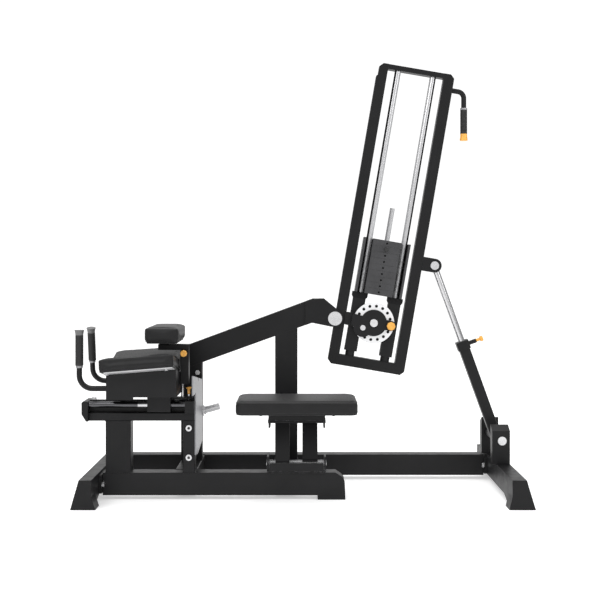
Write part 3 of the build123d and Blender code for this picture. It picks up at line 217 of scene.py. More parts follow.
def powder_coat(name, color=BLACK, edge_wear_and_highlight=WORN):
    """Satin powder coat: fine orange peel, faint patches and lighter edges; the lighter edges are
    wear in the default dark grey, and a painted highlight in the bright edge colour.
    """
    recipe = Recipe(name, color, 0.42, specular=0.2)
    edge = recipe.edges(1.6 * MM)
    patches = recipe.spread(recipe.noise(7), 0.35, 0.65)
    recipe.color = recipe.mix(patches, color, tuple(part * 1.25 for part in color))
    scuff_and_glint_patches = recipe.spread(recipe.noise(60, 5), 0.42, 0.62)
    wear_and_highlight_mask = recipe.node("ShaderNodeMath", operation="MULTIPLY")
    recipe.link(edge, wear_and_highlight_mask.inputs[0])
    recipe.link(scuff_and_glint_patches, wear_and_highlight_mask.inputs[1])
    # Patchy edge colour: wear with the default colour, a painted highlight with the bright edge
    # colour.
    recipe.color = recipe.mix(wear_and_highlight_mask.outputs[0], recipe.color, edge_wear_and_highlight)
    recipe.roughness = recipe.spread(recipe.noise(25), 0.3, 0.7, 0.38, 0.48)
    recipe.bump(recipe.noise(950, 2), 0.16, 0.25 * MM)
    return recipe


def vinyl():
    """Black upholstery vinyl with a fine leather grain."""
    color = (0.0078, 0.0078, 0.0082)
    recipe = Recipe("vinyl", color, 0.5, specular=0.22)
    patches = recipe.spread(recipe.noise(11), 0.35, 0.65)
    recipe.color = recipe.mix(patches, color, tuple(part * 1.3 for part in color))
    recipe.roughness = recipe.spread(recipe.noise(140, 4), 0.3, 0.7, 0.44, 0.54)
    recipe.bump(recipe.spread(recipe.cells(420), 0.0, 0.12), 0.22, 0.18 * MM)
    recipe.bump(recipe.noise(1500, 3), 0.1, 0.1 * MM)
    recipe.set("Sheen Weight", 0.04)
    return recipe.finish()


def metal(name, color, roughness, streaks=None, metallic=1.0, spot=0.3):
    """Bright metal with faint streaks or spots in its gloss."""
    recipe = Recipe(name, color, roughness, metallic=metallic)
    recipe.edges(0.5 * MM)
    grain = recipe.noise(300, 4, streaks)
    recipe.roughness = recipe.spread(grain, 0.3, 0.7, roughness * (1 - spot),
                                     roughness * (1 + spot))
    recipe.color = recipe.mix(recipe.spread(recipe.noise(30, 3), 0.35, 0.65), color,
                              tuple(part * 0.93 for part in color))
    recipe.bump(grain, 0.03, 0.05 * MM)
    return recipe


def plastic(name, color, roughness, grain=900):
    """Moulded plastic or rubber with a fine grain."""
    recipe = Recipe(name, color, roughness)
    recipe.edges(0.6 * MM)
    recipe.color = recipe.mix(recipe.spread(recipe.noise(90), 0.35, 0.65), color,
                              tuple(part * 0.85 for part in color))
    recipe.roughness = recipe.spread(recipe.noise(200, 3), 0.3, 0.7, roughness * 0.9,
                                     roughness * 1.1)
    recipe.bump(recipe.noise(grain, 3), 0.15, 0.15 * MM)
    return recipe.finish()


def product(recipe, first, second):
    node = recipe.node("ShaderNodeMath", operation="MULTIPLY")
    recipe.link(first, node.inputs[0])
    recipe.link(second, node.inputs[1])
    return node.outputs[0]


def inverse(recipe, value):
    return recipe.spread(value, 0, 1, 1.0, 0.0)


def metal_where(recipe, mask, color, metallic, roughness):
    """Lays bright metal over a dark coat where the mask is 1."""
    recipe.color = recipe.mix(mask, recipe.color, color)
    recipe.roughness = recipe.mix(mask, recipe.roughness, roughness)
    recipe.link(recipe.spread(mask, 0, 1, 0.0, metallic), recipe.shader.inputs["Metallic"])
    return recipe.finish()


DISC_FACE = DISC_CENTRE.y - 48 * MM
HUB_RADIUS = 63 * MM
RIM_RADIUS = 97 * MM


def disc_metal():
    """Bright punched ring on a black hub; the walls inside the holes are painted dark as shade."""
    recipe = powder_coat("index_ring")
    ring = recipe.around(DISC_CENTRE, HUB_RADIUS - 0.4 * MM, HUB_RADIUS + 0.2 * MM)
    # Painted shade: behind the ring's face and inside its rim the coat stays black, darkening the
    # holes.
    behind = recipe.along(Y_AXIS, DISC_FACE + 0.4 * MM, DISC_FACE + 0.8 * MM)
    inside = inverse(recipe, recipe.around(DISC_CENTRE, RIM_RADIUS - 0.4 * MM, RIM_RADIUS))
    hole_shade = product(recipe, behind, inside)
    return metal_where(recipe, product(recipe, ring, inverse(recipe, hole_shade)),
                       steel(0.8), 0.4, 0.3)


LOBE_CENTRE = DISC_CENTRE - TOWER_ACROSS * 47.5 * MM - TOWER_UP * 30.5 * MM
LOBE_BOLT = 13 * MM            # radius of the bolt on the lobe
LOBE_FACE = DISC_CENTRE.y - 61.4 * MM
CAP_FACE = DISC_CENTRE.y - 63.4 * MM


def swing_coat():
    """Black swing plate with a bright bolt on its lobe."""
    recipe = powder_coat("swing_coat")
    bolt = inverse(recipe, recipe.around(LOBE_CENTRE, LOBE_BOLT - 0.3 * MM, LOBE_BOLT))
    proud = recipe.along(-Y_AXIS, -LOBE_FACE, 0.5 * MM - LOBE_FACE)
    return metal_where(recipe, product(recipe, bolt, proud), steel(0.62), 0.8, 0.3)


def mount_coat():
    """Black axle plate with a bright cap at the end of the axle."""
    recipe = powder_coat("mount_coat")
    cap = recipe.along(-Y_AXIS, -CAP_FACE, 0.5 * MM - CAP_FACE)
    return metal_where(recipe, cap, steel(0.68), 0.8, 0.28)


# Painted highlight on the slide rods: a light stretch along X in place of a reflection.
HIGHLIGHT_STRETCH = (-736 * MM, -691 * MM)    # along X


def rod_painted_reflections():
    """Polished slide rods: their dark colour is a painted dark reflection, and one short stretch
    carries a painted highlight.
    """
    recipe = metal("rod_painted_reflections", (0.09, 0.09, 0.095), 0.16)
    start, end = HIGHLIGHT_STRETCH
    from_here = recipe.along(X_AXIS, start - MM, start + MM)
    to_here = inverse(recipe, recipe.along(X_AXIS, end - MM, end + MM))
    recipe.color = recipe.mix(product(recipe, from_here, to_here), recipe.color,
                              steel(0.5))
    return recipe.finish()


RISER_TOP = 103.5 * MM         # start of the rubber, above the disc's axle


def riser_coat():
    """Powder coat below and matt rubber on the flared top of the risers."""
    recipe = powder_coat("riser_coat")
    seat = TOWER_UP.dot(DISC_CENTRE) + RISER_TOP
    rubber = recipe.along(TOWER_UP, seat - MM, seat)
    recipe.roughness = recipe.mix(rubber, recipe.roughness, 0.8)
    return recipe.finish()


def plate_paint():
    """Satin grey-black weight plates with a cast texture."""
    color = (0.034, 0.034, 0.036)
    recipe = Recipe("plate_paint", color, 0.42, specular=0.4)
    recipe.edges(1.2 * MM)
    recipe.color = recipe.mix(recipe.spread(recipe.noise(14), 0.35, 0.65), color,
                              tuple(part * 1.3 for part in color))
    recipe.roughness = recipe.spread(recipe.noise(70, 4), 0.3, 0.7, 0.36, 0.5)
    recipe.bump(recipe.noise(500, 4), 0.25, 0.3 * MM)
    return recipe.finish()


black = powder_coat("black_coat").finish()
upholstery = vinyl()
chrome = metal("chrome", steel(0.56), 0.16, metallic=0.8).finish()
zinc = metal("zinc", steel(0.62), 0.3, metallic=0.85).finish()
# Painted sheen: the side gusset's light grey stands in for the sheen of light across its black
# coat.
gusset_sheen_paint = metal("silver_plate", steel(0.22), 0.4, metallic=0.3).finish()
# Painted reflection: the pad boards' light grey stands in for the white floor mirrored along the
# cushions' lower edges.
board_reflection_paint = metal("board_edge_reflection", steel(0.45), 0.4, metallic=0.2).finish()
# Bench base and bracket: black coat with painted highlights along its edges.
edge_highlight_coat = powder_coat("edge_highlight_coat", edge_wear_and_highlight=EDGE_HIGHLIGHT_PAINT).finish()
ring_metal = disc_metal()
rod_reflection_paint = rod_painted_reflections()
swing_black = swing_coat()
mount_black = mount_coat()
riser = riser_coat()
plate = plate_paint()
amber = plastic("amber", (0.86, 0.42, 0.07), 0.35)
grip_rubber = plastic("grip_rubber", (0.012, 0.012, 0.012), 0.62, grain=1400)
grey_plastic = plastic("grey_cap", (0.13, 0.13, 0.13), 0.42)
light_ring = metal("light_ring", steel(0.3), 0.35, metallic=0.5).finish()
# Dark plastic for the stack pin's knob; the same material is also painted shade in the plate gaps
# and the bolt sockets.
dark_plastic_and_shade = plastic("dark_plastic_and_shade", (0.014, 0.014, 0.014), 0.5)

# Painted reflection: a dark band on each guide rod's outer side, in place of the black column
# mirrored in it.
COLUMN_REFLECTION_WIDTH = 9 * MM            # dark width on each guide rod's outer side


def guide_reflection_coat():
    """Bright guide rods with a painted dark reflection of the columns along their outer sides."""
    recipe = powder_coat("guide_rod_reflection_paint")
    spans = [vert.co.dot(TOWER_ACROSS) for vert in nodes["guide_rods"].data.vertices]
    left, right = min(spans) + COLUMN_REFLECTION_WIDTH, max(spans) - COLUMN_REFLECTION_WIDTH
    after_left = recipe.along(TOWER_ACROSS, left - 0.5 * MM, left + 0.5 * MM)
    before_right = inverse(recipe, recipe.along(TOWER_ACROSS, right - 0.5 * MM,
                                                right + 0.5 * MM))
    return metal_where(recipe, product(recipe, after_left, before_right),
                       steel(0.52), 0.55, 0.24)


guide_rod_reflection_paint = guide_reflection_coat()

NODE_MATERIALS = {
    chrome: "strut_rod selector_rod",
    guide_rod_reflection_paint: "guide_rods",
    rod_reflection_paint: "slide_rods",
    zinc: "pivot_pins frame_bolts pad_bolts strut_top_pin storage_peg",
    edge_highlight_coat: "bench_base bench_top_bracket",
    swing_black: "swing_plate",
    mount_black: "disc_mount",
    gusset_sheen_paint: "side_gusset",
    board_reflection_paint: "pad_boards",
    ring_metal: "index_disc",
    riser: "stack_risers",
    plate: "resting_plates lifted_plates",
}
for node in nodes.values():
    node.data.materials.clear()
    node.data.materials.append(black)
for material, names in NODE_MATERIALS.items():
    for name in names.split():
        nodes[name].data.materials[0] = material


# ------------------------------------------------------------------ shape tools
def facing(origin, axis):
    """Matrix that puts a shape built along +Z at origin, along axis."""
    turn = Vector(axis).normalized().to_track_quat("Z", "Y").to_matrix().to_4x4()
    return Matrix.Translation(origin) @ turn


def add_piece(name, bm, material, body, sharp=35):
    """Turns a bmesh into a piece that rides on a body."""
    bmesh.ops.recalc_face_normals(bm, faces=bm.faces)
    for face in bm.faces:
        face.smooth = True
    for edge in bm.edges:
        if len(edge.link_faces) == 2 and edge.calc_face_angle() > radians(sharp):
            edge.smooth = False
    mesh = bpy.data.meshes.new(name)
    bm.to_mesh(mesh)
    bm.free()
    mesh.materials.append(material)
    piece = bpy.data.objects.new(name, mesh)
    scene.collection.objects.link(piece)
    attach(piece, body)
    return piece


def lathe(profile, place, steps=64, flutes=0, depth=0.0, closed=False, bm=None):
    """Solid of revolution; flutes and depth scallop the rings marked with True.

    A profile entry is (radius, height) or (radius, height, True)."""
    bm = bm or bmesh.new()
    rings = []
    for entry in profile:
        radius, height = entry[:2]
        fluted = len(entry) > 2
        if radius <= 0:
            rings.append([bm.verts.new(place @ Vector((0, 0, height)))])
            continue
        ring = []
        for step in range(steps):
            angle = tau * step / steps
            reach = radius
            if fluted:
                reach -= depth * (0.5 - 0.5 * cos(flutes * angle))
            ring.append(bm.verts.new(place @ Vector((reach * cos(angle), reach * sin(angle),
                                                     height))))
        rings.append(ring)
    followers = rings[1:] + (rings[:1] if closed else [])
    for lower, upper in zip(rings, followers):
        for step in range(steps):
            after = (step + 1) % steps
            if len(lower) == 1:
                bm.faces.new((lower[0], upper[step], upper[after]))
            elif len(upper) == 1:
                bm.faces.new((lower[step], lower[after], upper[0]))
            else:
                bm.faces.new((lower[step], lower[after], upper[after], upper[step]))
    return bm


def mean_along(points, direction):
    return sum(point.dot(direction) for point in points) / len(points)


def islands(node):
    """Points and face normals of each separate solid of a CAD node, sorted by X."""
    bm = bmesh.new()
    bm.from_mesh(nodes[node].data)
    bmesh.ops.remove_doubles(bm, verts=bm.verts, dist=0.001 * MM)
    left = set(bm.verts)
    found = []
    while left:
        island = []
        faces = {}
        search = [left.pop()]
        while search:
            vert = search.pop()
            island.append(vert.co.copy())
            for face in vert.link_faces:
                faces[face.index] = face
                for other in face.verts:
                    if other in left:
                        left.discard(other)
                        search.append(other)
        normals = [(face.calc_area(), face.normal.copy()) for face in faces.values()]
        found.append((island, normals))
    bm.free()
    return sorted(found, key=lambda solid: mean_along(solid[0], X_AXIS))


def corners(points):
    """Lowest and highest corner of a set of points."""
    low = Vector(min(point[i] for point in points) for i in range(3))
    high = Vector(max(point[i] for point in points) for i in range(3))
    return low, high


# ------------------------------------------------------------------ upholstery
VOXEL = 5 * MM
PUFF_CAP = 6 * MM
PUFF_FRAMES = 20
SOFT, FIRM = 4.0, 2.0          # pressures inside the bench pad and the other pads
WAIST = 1.8 * MM               # how far a pad's sides pull in between its corners
SHRINK = 1.2 * MM              # room for the pad to swell into
PAD_EDGE = 5 * MM
PAD_CROWN = 2 * MM
HELD_SHARE = 0.22              # lowest share of a pad's height, fixed to its board
SEAM_WIDTH = 2.8 * MM
SEAM_DEPTH = 2.4 * MM
STITCH_RISE = 4 * MM           # from a seam up to its stitches


def pad_place(solid):
    """Frame and size of a flat cushion: its top's normal is the frame's Z."""
    points, normals = solid
    up = max((entry for entry in normals if entry[1].z > 0.8), key=lambda entry: entry[0])[1]
    along = (X_AXIS - up * X_AXIS.dot(up)).normalized()
    turn = Matrix((along, up.cross(along), up)).transposed()
    local = [turn.inverted() @ point for point in points]
    low, high = corners(local)
    centre = turn @ ((low + high) / 2)
    return Matrix.Translation(centre) @ turn.to_4x4(), high - low


def pad_cage(size, corner, edge, crown):
    """Closed pad shape: rounded corners, rolled edges and a slight crown."""
    half_x, half_y, half_z = (side / 2 for side in size)
    bm = bmesh.new()
    steps = 8

    def ring(inset, height):
        reach = max(corner - inset, 3 * MM)
        loop = []
        for quarter, (sx, sy) in enumerate(((1, 1), (-1, 1), (-1, -1), (1, -1))):
            centre = Vector((sx * (half_x - inset - reach), sy * (half_y - inset - reach)))
            for step in range(steps + 1):
                angle = pi / 2 * (quarter + step / steps)
                loop.append(bm.verts.new((centre.x + reach * cos(angle),
                                          centre.y + reach * sin(angle), height)))
        return loop

    loops = []
    bands = 6
    for band in range(bands + 1):
        angle = pi / 2 * band / bands
        loops.append(ring(edge * (1 - sin(angle)), -half_z + edge * (1 - cos(angle))))
    for band in range(1, 4):
        loops.append(ring(0, -half_z + edge + (2 * half_z - 2 * edge) * band / 4))
    for band in range(bands + 1):
        angle = pi / 2 * band / bands
        loops.append(ring(edge * (1 - cos(angle)), half_z - edge * (1 - sin(angle))))
    insets = 6
    for inner in range(1, insets):
        share = inner / insets
        rise = crown * (1 - (1 - share) ** 2)
        loops.append(ring(edge + (min(half_x, half_y) - edge) * share * 0.96, half_z + rise))
    for lower, upper in zip(loops, loops[1:]):
        count = len(lower)
        for index in range(count):
            after = (index + 1) % count
            bm.faces.new((lower[index], lower[after], upper[after], upper[index]))
    bm.faces.new(list(reversed(loops[0])))
    bm.faces.new(loops[-1])
    return bm


def puff(piece, pressure):
    """Inflates a remeshed pad as cloth, with its underside held."""
    low, high = corners([vert.co for vert in piece.data.vertices])
    held = piece.vertex_groups.new(name="held")
    for vert in piece.data.vertices:
        height = (vert.co.z - low.z) / (high.z - low.z)
        if height < HELD_SHARE:
            held.add([vert.index], 1.0, "REPLACE")
    start = [vert.co.copy() for vert in piece.data.vertices]
    outward = [normal.vector.copy() for normal in piece.data.vertex_normals]
    cloth = piece.modifiers.new("puff", "CLOTH")
    cloth.settings.quality = 5
    cloth.settings.mass = 0.3
    cloth.settings.tension_stiffness = 14
    cloth.settings.compression_stiffness = 12
    cloth.settings.bending_stiffness = 0.6
    cloth.settings.use_pressure = True
    cloth.settings.uniform_pressure_force = pressure
    cloth.settings.vertex_group_mass = "held"
    cloth.settings.effector_weights.gravity = 0
    cloth.point_cache.frame_start = 1
    cloth.point_cache.frame_end = PUFF_FRAMES
    for step in range(1, PUFF_FRAMES + 1):
        scene.frame_set(step)
    evaluated = piece.evaluated_get(bpy.context.evaluated_depsgraph_get())
    swollen = [vert.co.copy() for vert in evaluated.data.vertices]
    piece.modifiers.remove(cloth)
    scene.frame_set(1)
    places = []
    for before, normal, after in zip(start, outward, swollen):
        swell = min(max((after - before).dot(normal), 0.0), PUFF_CAP)
        places.extend(before + normal * swell)
    piece.data.vertices.foreach_set("co", places)
    piece.data.update()


def groove(piece, height, width, depth):
    """Presses a sewn line into a pad's side at a height of its own frame."""
    mesh = piece.data
    places = [vert.co.copy() for vert in mesh.vertices]
    normals = [normal.vector.copy() for normal in mesh.vertex_normals]
    for place, normal in zip(places, normals):
        offset = (place.z - height) / width
        if abs(offset) < 3 and abs(normal.z) < 0.8:
            place -= normal * depth * exp(-offset * offset)
    mesh.vertices.foreach_set("co", [part for place in places for part in place])
    mesh.update()


def waist(piece, size):
    """Draws a pad's sides in a little between its corners."""
    mesh = piece.data
    half = size / 2
    places = []
    for vert in mesh.vertices:
        x, y = vert.co.x / half.x, vert.co.y / half.y
        places += [vert.co.x * (1 - WAIST / half.x * max(0.0, 1 - y * y) * x ** 6),
                   vert.co.y * (1 - WAIST / half.y * max(0.0, 1 - x * x) * y ** 6), vert.co.z]
    mesh.vertices.foreach_set("co", places)
    mesh.update()


def apply_modifier(piece, name):
    with bpy.context.temp_override(object=piece, active_object=piece,
                                   selected_objects=[piece]):
        bpy.ops.object.modifier_apply(modifier=name)


def capsule(sides=6, rings=4):
    """Points and faces of a small rounded rod of half length 1 and radius 1."""
    points = [(-1, 0, 0)]
    for ring in range(rings):
        reach = -1 + 2 * (ring + 0.5) / rings
        girth = (1 - abs(reach) ** 3) ** 0.5
        points += [(reach, girth * cos(tau * side / sides), girth * sin(tau * side / sides))
                   for side in range(sides)]
    points.append((1, 0, 0))
    last = len(points) - 1
    faces = []
    for side in range(sides):
        after = (side + 1) % sides
        faces.append((0, 1 + after, 1 + side))
        for ring in range(rings - 1):
            base, upper = 1 + ring * sides, 1 + (ring + 1) * sides
            faces.append((base + side, base + after, upper + after, upper + side))
        faces.append((last, last - sides + side, last - sides + after))
    return [Vector(point) for point in points], faces


def stitches(name, pad, place, height, body, pitch=5 * MM, length=3.4 * MM):
    """Sewn thread along a pad's side, each stitch laid on the surface."""
    tree = BVHTree.FromPolygons([vert.co for vert in pad.data.vertices],
                                [tuple(face.vertices) for face in pad.data.polygons])
    low, high = corners([vert.co for vert in pad.data.vertices])
    middle = Vector(((low.x + high.x) / 2, (low.y + high.y) / 2, height))
    path = []
    rays = 1440
    for step in range(rays):
        angle = tau * step / rays
        outward = Vector((cos(angle) * (high.x - low.x), sin(angle) * (high.y - low.y), 0))
        hit, normal, _, _ = tree.ray_cast(middle + outward, -outward.normalized())
        if hit:
            path.append((hit, normal))
    seed, seed_faces = capsule()
    points, faces = [], []
    travelled = 0.0
    for (here, normal), (there, _) in zip(path, path[1:] + path[:1]):
        travelled += (there - here).length
        if travelled < pitch:
            continue
        travelled = 0.0
        run = (there - here).normalized()
        side = run.cross(normal)
        first = len(points)
        for point in seed:
            points.append(place @ (here + normal * 0.3 * MM + run * point.x * length / 2
                                   + (normal * point.y + side * point.z) * 0.5 * MM))
        faces += [tuple(first + index for index in face) for face in seed_faces]
    mesh = bpy.data.meshes.new(name)
    mesh.from_pydata(points, [], faces)
    mesh.materials.append(dark_thread)
    thread = bpy.data.objects.new(name, mesh)
    scene.collection.objects.link(thread)
    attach(thread, body)


def make_pad(name, solid, body, corner, seams, replaced):
    """One upholstered pad in the space of its CAD solid.

    Each seam is a share of the pad's height."""
    place, size = pad_place(solid)
    slim = Vector((size.x - 2 * SHRINK, size.y - 2 * SHRINK, size.z - SHRINK))
    bm = pad_cage(slim, corner, PAD_EDGE, PAD_CROWN)
    mesh = bpy.data.meshes.new(name)
    bm.to_mesh(mesh)
    bm.free()
    pad = bpy.data.objects.new(name, mesh)
    scene.collection.objects.link(pad)
    bpy.context.view_layer.update()
    remesh = pad.modifiers.new("even", "REMESH")
    remesh.mode = "VOXEL"
    remesh.voxel_size = VOXEL
    apply_modifier(pad, "even")
    puff(pad, SOFT if replaced == "bench_cushion" else FIRM)
    smooth = pad.modifiers.new("smooth", "SMOOTH")
    smooth.factor = 0.5
    smooth.iterations = 1
    apply_modifier(pad, "smooth")
    divide = pad.modifiers.new("fine", "SUBSURF")
    divide.levels = divide.render_levels = 1
    apply_modifier(pad, "fine")
    low, _ = corners([vert.co for vert in pad.data.vertices])
    pad.data.transform(Matrix.Translation((0, 0, -size.z / 2 - low.z)))
    waist(pad, size)
    for share in seams:
        groove(pad, -size.z / 2 + size.z * share, SEAM_WIDTH, SEAM_DEPTH)
    for polygon in pad.data.polygons:
        polygon.use_smooth = True
    for number, share in enumerate(seams):
        height = -size.z / 2 + size.z * share + STITCH_RISE
        stitches(f"{name}_stitches_{number}", pad, place, height, body)
    pad.matrix_world = place
    bpy.context.view_layer.update()
    pad.data.materials.append(upholstery)
    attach(pad, body)
    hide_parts(replaced)
    return pad


dark_thread = plastic("dark_thread", (0.02, 0.02, 0.021), 0.7)

make_pad("bench_pad", islands("bench_cushion")[0], "seat", 36 * MM,
         (0.12, 0.84), "bench_cushion")
make_pad("chest_pad", islands("chest_cushion")[0], "chest_rest", 24 * MM,
         (0.12,), "chest_cushion")
forearm_solids = sorted(islands("forearm_cushions"),
                        key=lambda solid: mean_along(solid[0], Y_AXIS))
for side, solid in zip(("near", "far"), forearm_solids):
    make_pad(f"{side}_forearm_pad", solid, "carriage", 13 * MM, (0.14,),
             "forearm_cushions")


# ------------------------------------------------------------------ grips
def tube_ends(points):
    """Middles of the lower and upper end of a straight tube."""
    ordered = sorted(points, key=lambda co: co.z)
    half = len(ordered) // 2
    lower = sum(ordered[:half], Vector()) / half
    upper = sum(ordered[-half:], Vector()) / half
    return lower, upper


def grip(name, start, end, radius, bore, body):
    """Soft rubber grip sleeve with rolled ends and shallow rings."""
    length = (end - start).length
    place = facing(start, end - start)
    profile = [(bore, 0), (radius - 1.5 * MM, 0), (radius - 0.4 * MM, 0.5 * MM),
               (radius, 2 * MM)]
    rings = 26
    for ring in range(rings):
        low = 8 * MM + (length - 16 * MM) * ring / rings
        step = (length - 16 * MM) / rings
        profile += [(radius, low), (radius - 0.15 * MM, low + step * 0.62),
                    (radius - 0.9 * MM, low + step * 0.74), (radius - 0.9 * MM, low + step * 0.86),
                    (radius - 0.15 * MM, low + step * 0.97)]
    profile += [(radius, length - 2 * MM), (radius - 0.4 * MM, length - 0.5 * MM),
                (radius - 1.5 * MM, length), (bore, length)]
    return add_piece(name, lathe(profile, place, closed=True), grip_rubber, body)


HANDLE_TUBE = 12 * MM
forearm_grips = sorted(islands("handle_grips"),
                       key=lambda solid: mean_along(solid[0], Y_AXIS))
RING_LENGTH = 10 * MM
for side, (points, _) in zip(("near", "far"), forearm_grips):
    bottom, top = tube_ends(points)
    up = (top - bottom).normalized()
    sleeve = grip(f"{side}_grip", bottom, top, 17.5 * MM, HANDLE_TUBE, "carriage")
    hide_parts("handle_grips")
    cap_profile = [(0, 0), (17 * MM, 0), (17.4 * MM, 1 * MM), (17.6 * MM, 6 * MM),
                   (19 * MM, 14 * MM), (20.6 * MM, 20 * MM), (20.9 * MM, 21.6 * MM),
                   (20.2 * MM, 22.8 * MM), (17 * MM, 23 * MM), (12 * MM, 22.2 * MM),
                   (0, 22 * MM)]
    cap = add_piece(f"{side}_grip_cap", lathe(cap_profile, facing(top, up)), grey_plastic,
                    "carriage")
    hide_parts("handle_trim")
    ring_profile = [(HANDLE_TUBE, 0), (14 * MM, 0), (15 * MM, 1 * MM), (15 * MM, 9 * MM),
                    (14.4 * MM, 10 * MM), (HANDLE_TUBE, 10 * MM)]
    ring = add_piece(f"{side}_grip_ring",
                     lathe(ring_profile, facing(bottom - up * RING_LENGTH, up), closed=True),
                     light_ring, "carriage")
    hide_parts("handle_trim")

low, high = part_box("tower_grip")
grip_line = Vector(((low.x + high.x) / 2, (low.y + high.y) / 2, 0))
grip_start = grip_line + Z_AXIS * low.z
grip_end = grip_line + Z_AXIS * high.z
tower_sleeve = grip("tower_grip_sleeve", grip_start, grip_end, 16.5 * MM, HANDLE_TUBE, "tower")
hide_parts("tower_grip")
cap_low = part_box("tower_grip_trim")[0].z
cap_length = low.z - cap_low
tower_cap_profile = [(0, 0), (14 * MM, 0.2 * MM), (17.6 * MM, 0.6 * MM), (18.8 * MM, 2 * MM),
                     (19 * MM, 3.5 * MM), (18.4 * MM, 8 * MM), (16.9 * MM, 20 * MM),
                     (16.5 * MM, cap_length - MM), (16 * MM, cap_length), (0, cap_length)]
tower_cap = add_piece("tower_grip_cap",
                      lathe(tower_cap_profile, facing(grip_line + Z_AXIS * cap_low, Z_AXIS)),
                      amber, "tower")
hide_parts("tower_grip_trim")
tower_ring_profile = [(HANDLE_TUBE, 0), (16 * MM, 0), (17 * MM, 1 * MM), (17 * MM, 8 * MM),
                      (16 * MM, 9 * MM), (HANDLE_TUBE, 9 * MM)]
tower_ring = add_piece("tower_grip_ring",
                       lathe(tower_ring_profile, facing(grip_end, Z_AXIS), closed=True),
                       light_ring, "tower")
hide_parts("tower_grip_trim")


# ------------------------------------------------------------------ lock pins
KNOB_FLUTES = 8


def pull_pin(name, node, body, pull, shaft, knob_radius, knob_length, neck=0.0,
             neck_radius=6.5 * MM):
    """Pull pin: bright plunger and a fluted amber knob, on an amber neck if neck is given."""
    direction = Vector(joints[pull]["axis"]).normalized()
    points = islands(node)[0][0]
    reach = [point.dot(direction) for point in points]
    tip, end = min(reach), max(reach)
    tip_points = [point for point, out in zip(points, reach) if out < tip + 0.1 * MM]
    foot = (corners(tip_points)[0] + corners(tip_points)[1]) / 2
    place = facing(foot, direction)
    knob_start = end - tip - knob_length
    shaft_profile = [(0, 0), (shaft - 1 * MM, 0), (shaft, 1 * MM), (shaft, knob_start),
                     (0, knob_start)]
    plunger = add_piece(f"{name}_plunger", lathe(shaft_profile, place, 32), chrome, body)
    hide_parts(node)
    if neck:
        neck_profile = [(0, knob_start - neck), (neck_radius - 0.5 * MM, knob_start - neck),
                        (neck_radius, knob_start - neck + 1 * MM), (neck_radius, knob_start),
                        (0, knob_start)]
        ferrule = add_piece(f"{name}_ferrule", lathe(neck_profile, place, 32), amber, body)
        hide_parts(node)
    radius, length = knob_radius, knob_length
    rim = min(3 * MM, length * 0.3)
    knob_profile = [(0, 0), (radius * 0.62, 0), (radius * 0.7, length * 0.06)]
    knob_profile += [(radius - rim * (1 - sin(pi / 2 * step / 4)),
                      length * 0.12 + rim * (1 - cos(pi / 2 * step / 4)), True)
                     for step in range(5)]
    knob_profile += [(radius, length * 0.72, True)]
    knob_profile += [(radius - rim * (1 - cos(pi / 2 * step / 4)),
                      length - rim + rim * sin(pi / 2 * step / 4), True) for step in range(5)]
    knob_profile += [(radius * 0.62, length), (radius * 0.55, length - 0.8 * MM),
                     (0, length - 0.8 * MM)]
    knob_place = place @ Matrix.Translation((0, 0, knob_start))
    knob = add_piece(f"{name}_knob",
                     lathe(knob_profile, knob_place, 96, KNOB_FLUTES, radius * 0.07), amber, body)
    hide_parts(node)


pull_pin("carriage_lock", "carriage_lock_pin", "carriage_lock", "carriage_lock_pull",
         shaft=5 * MM, knob_radius=13 * MM, knob_length=9 * MM, neck=22 * MM)
pull_pin("chest_lock", "chest_lock_pin", "chest_lock", "chest_lock_pull",
         shaft=4 * MM, knob_radius=15 * MM, knob_length=20 * MM)
pull_pin("swing_lock", "swing_lock_pin", "swing_lock", "swing_lock_pull",
         shaft=5 * MM, knob_radius=20 * MM, knob_length=24 * MM)
pull_pin("strut_lock", "strut_lock_pin", "strut_lock", "strut_lock_pull",
         shaft=5 * MM, knob_radius=13 * MM, knob_length=16 * MM, neck=19 * MM,
         neck_radius=7 * MM)


def selector():
    """Stack pin: steel shaft and a small dark knob with a collar."""
    direction = Vector(joints["stack_pin_pull"]["axis"])
    points = islands("selector_pin")[0][0]
    middle = (corners(points)[0] + corners(points)[1]) / 2
    reach = [point.dot(direction) for point in points]
    foot = middle + direction * (min(reach) - middle.dot(direction))
    length = max(reach) - min(reach)
    place = facing(foot, direction)
    knob_from = length - 18 * MM
    shaft = [(0, 0), (3.4 * MM, 0), (4.4 * MM, 1.5 * MM), (4.4 * MM, knob_from),
             (0, knob_from)]
    piece = add_piece("stack_pin_shaft", lathe(shaft, place, 32), zinc, "stack_pin")
    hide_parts("selector_pin")
    knob = [(0, knob_from), (7 * MM, knob_from), (7.6 * MM, knob_from + 1 * MM),
            (7.6 * MM, knob_from + 4 * MM), (6.6 * MM, knob_from + 5.5 * MM),
            (9.2 * MM, knob_from + 8 * MM, True), (10 * MM, knob_from + 10 * MM, True),
            (10 * MM, knob_from + 15 * MM, True), (9 * MM, knob_from + 17.4 * MM, True),
            (6 * MM, length), (0, length)]
    piece = add_piece("stack_pin_knob", lathe(knob, place, 64, 10, 0.7 * MM), dark_plastic_and_shade,
                      "stack_pin")
    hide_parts("selector_pin")


selector()


# ------------------------------------------------------------------ weld beads
BEAD = 2.4 * MM                # radius
RIPPLE = 2.6 * MM
LOW_POST = 0.4                 # posts that end below this height are welded on top as well


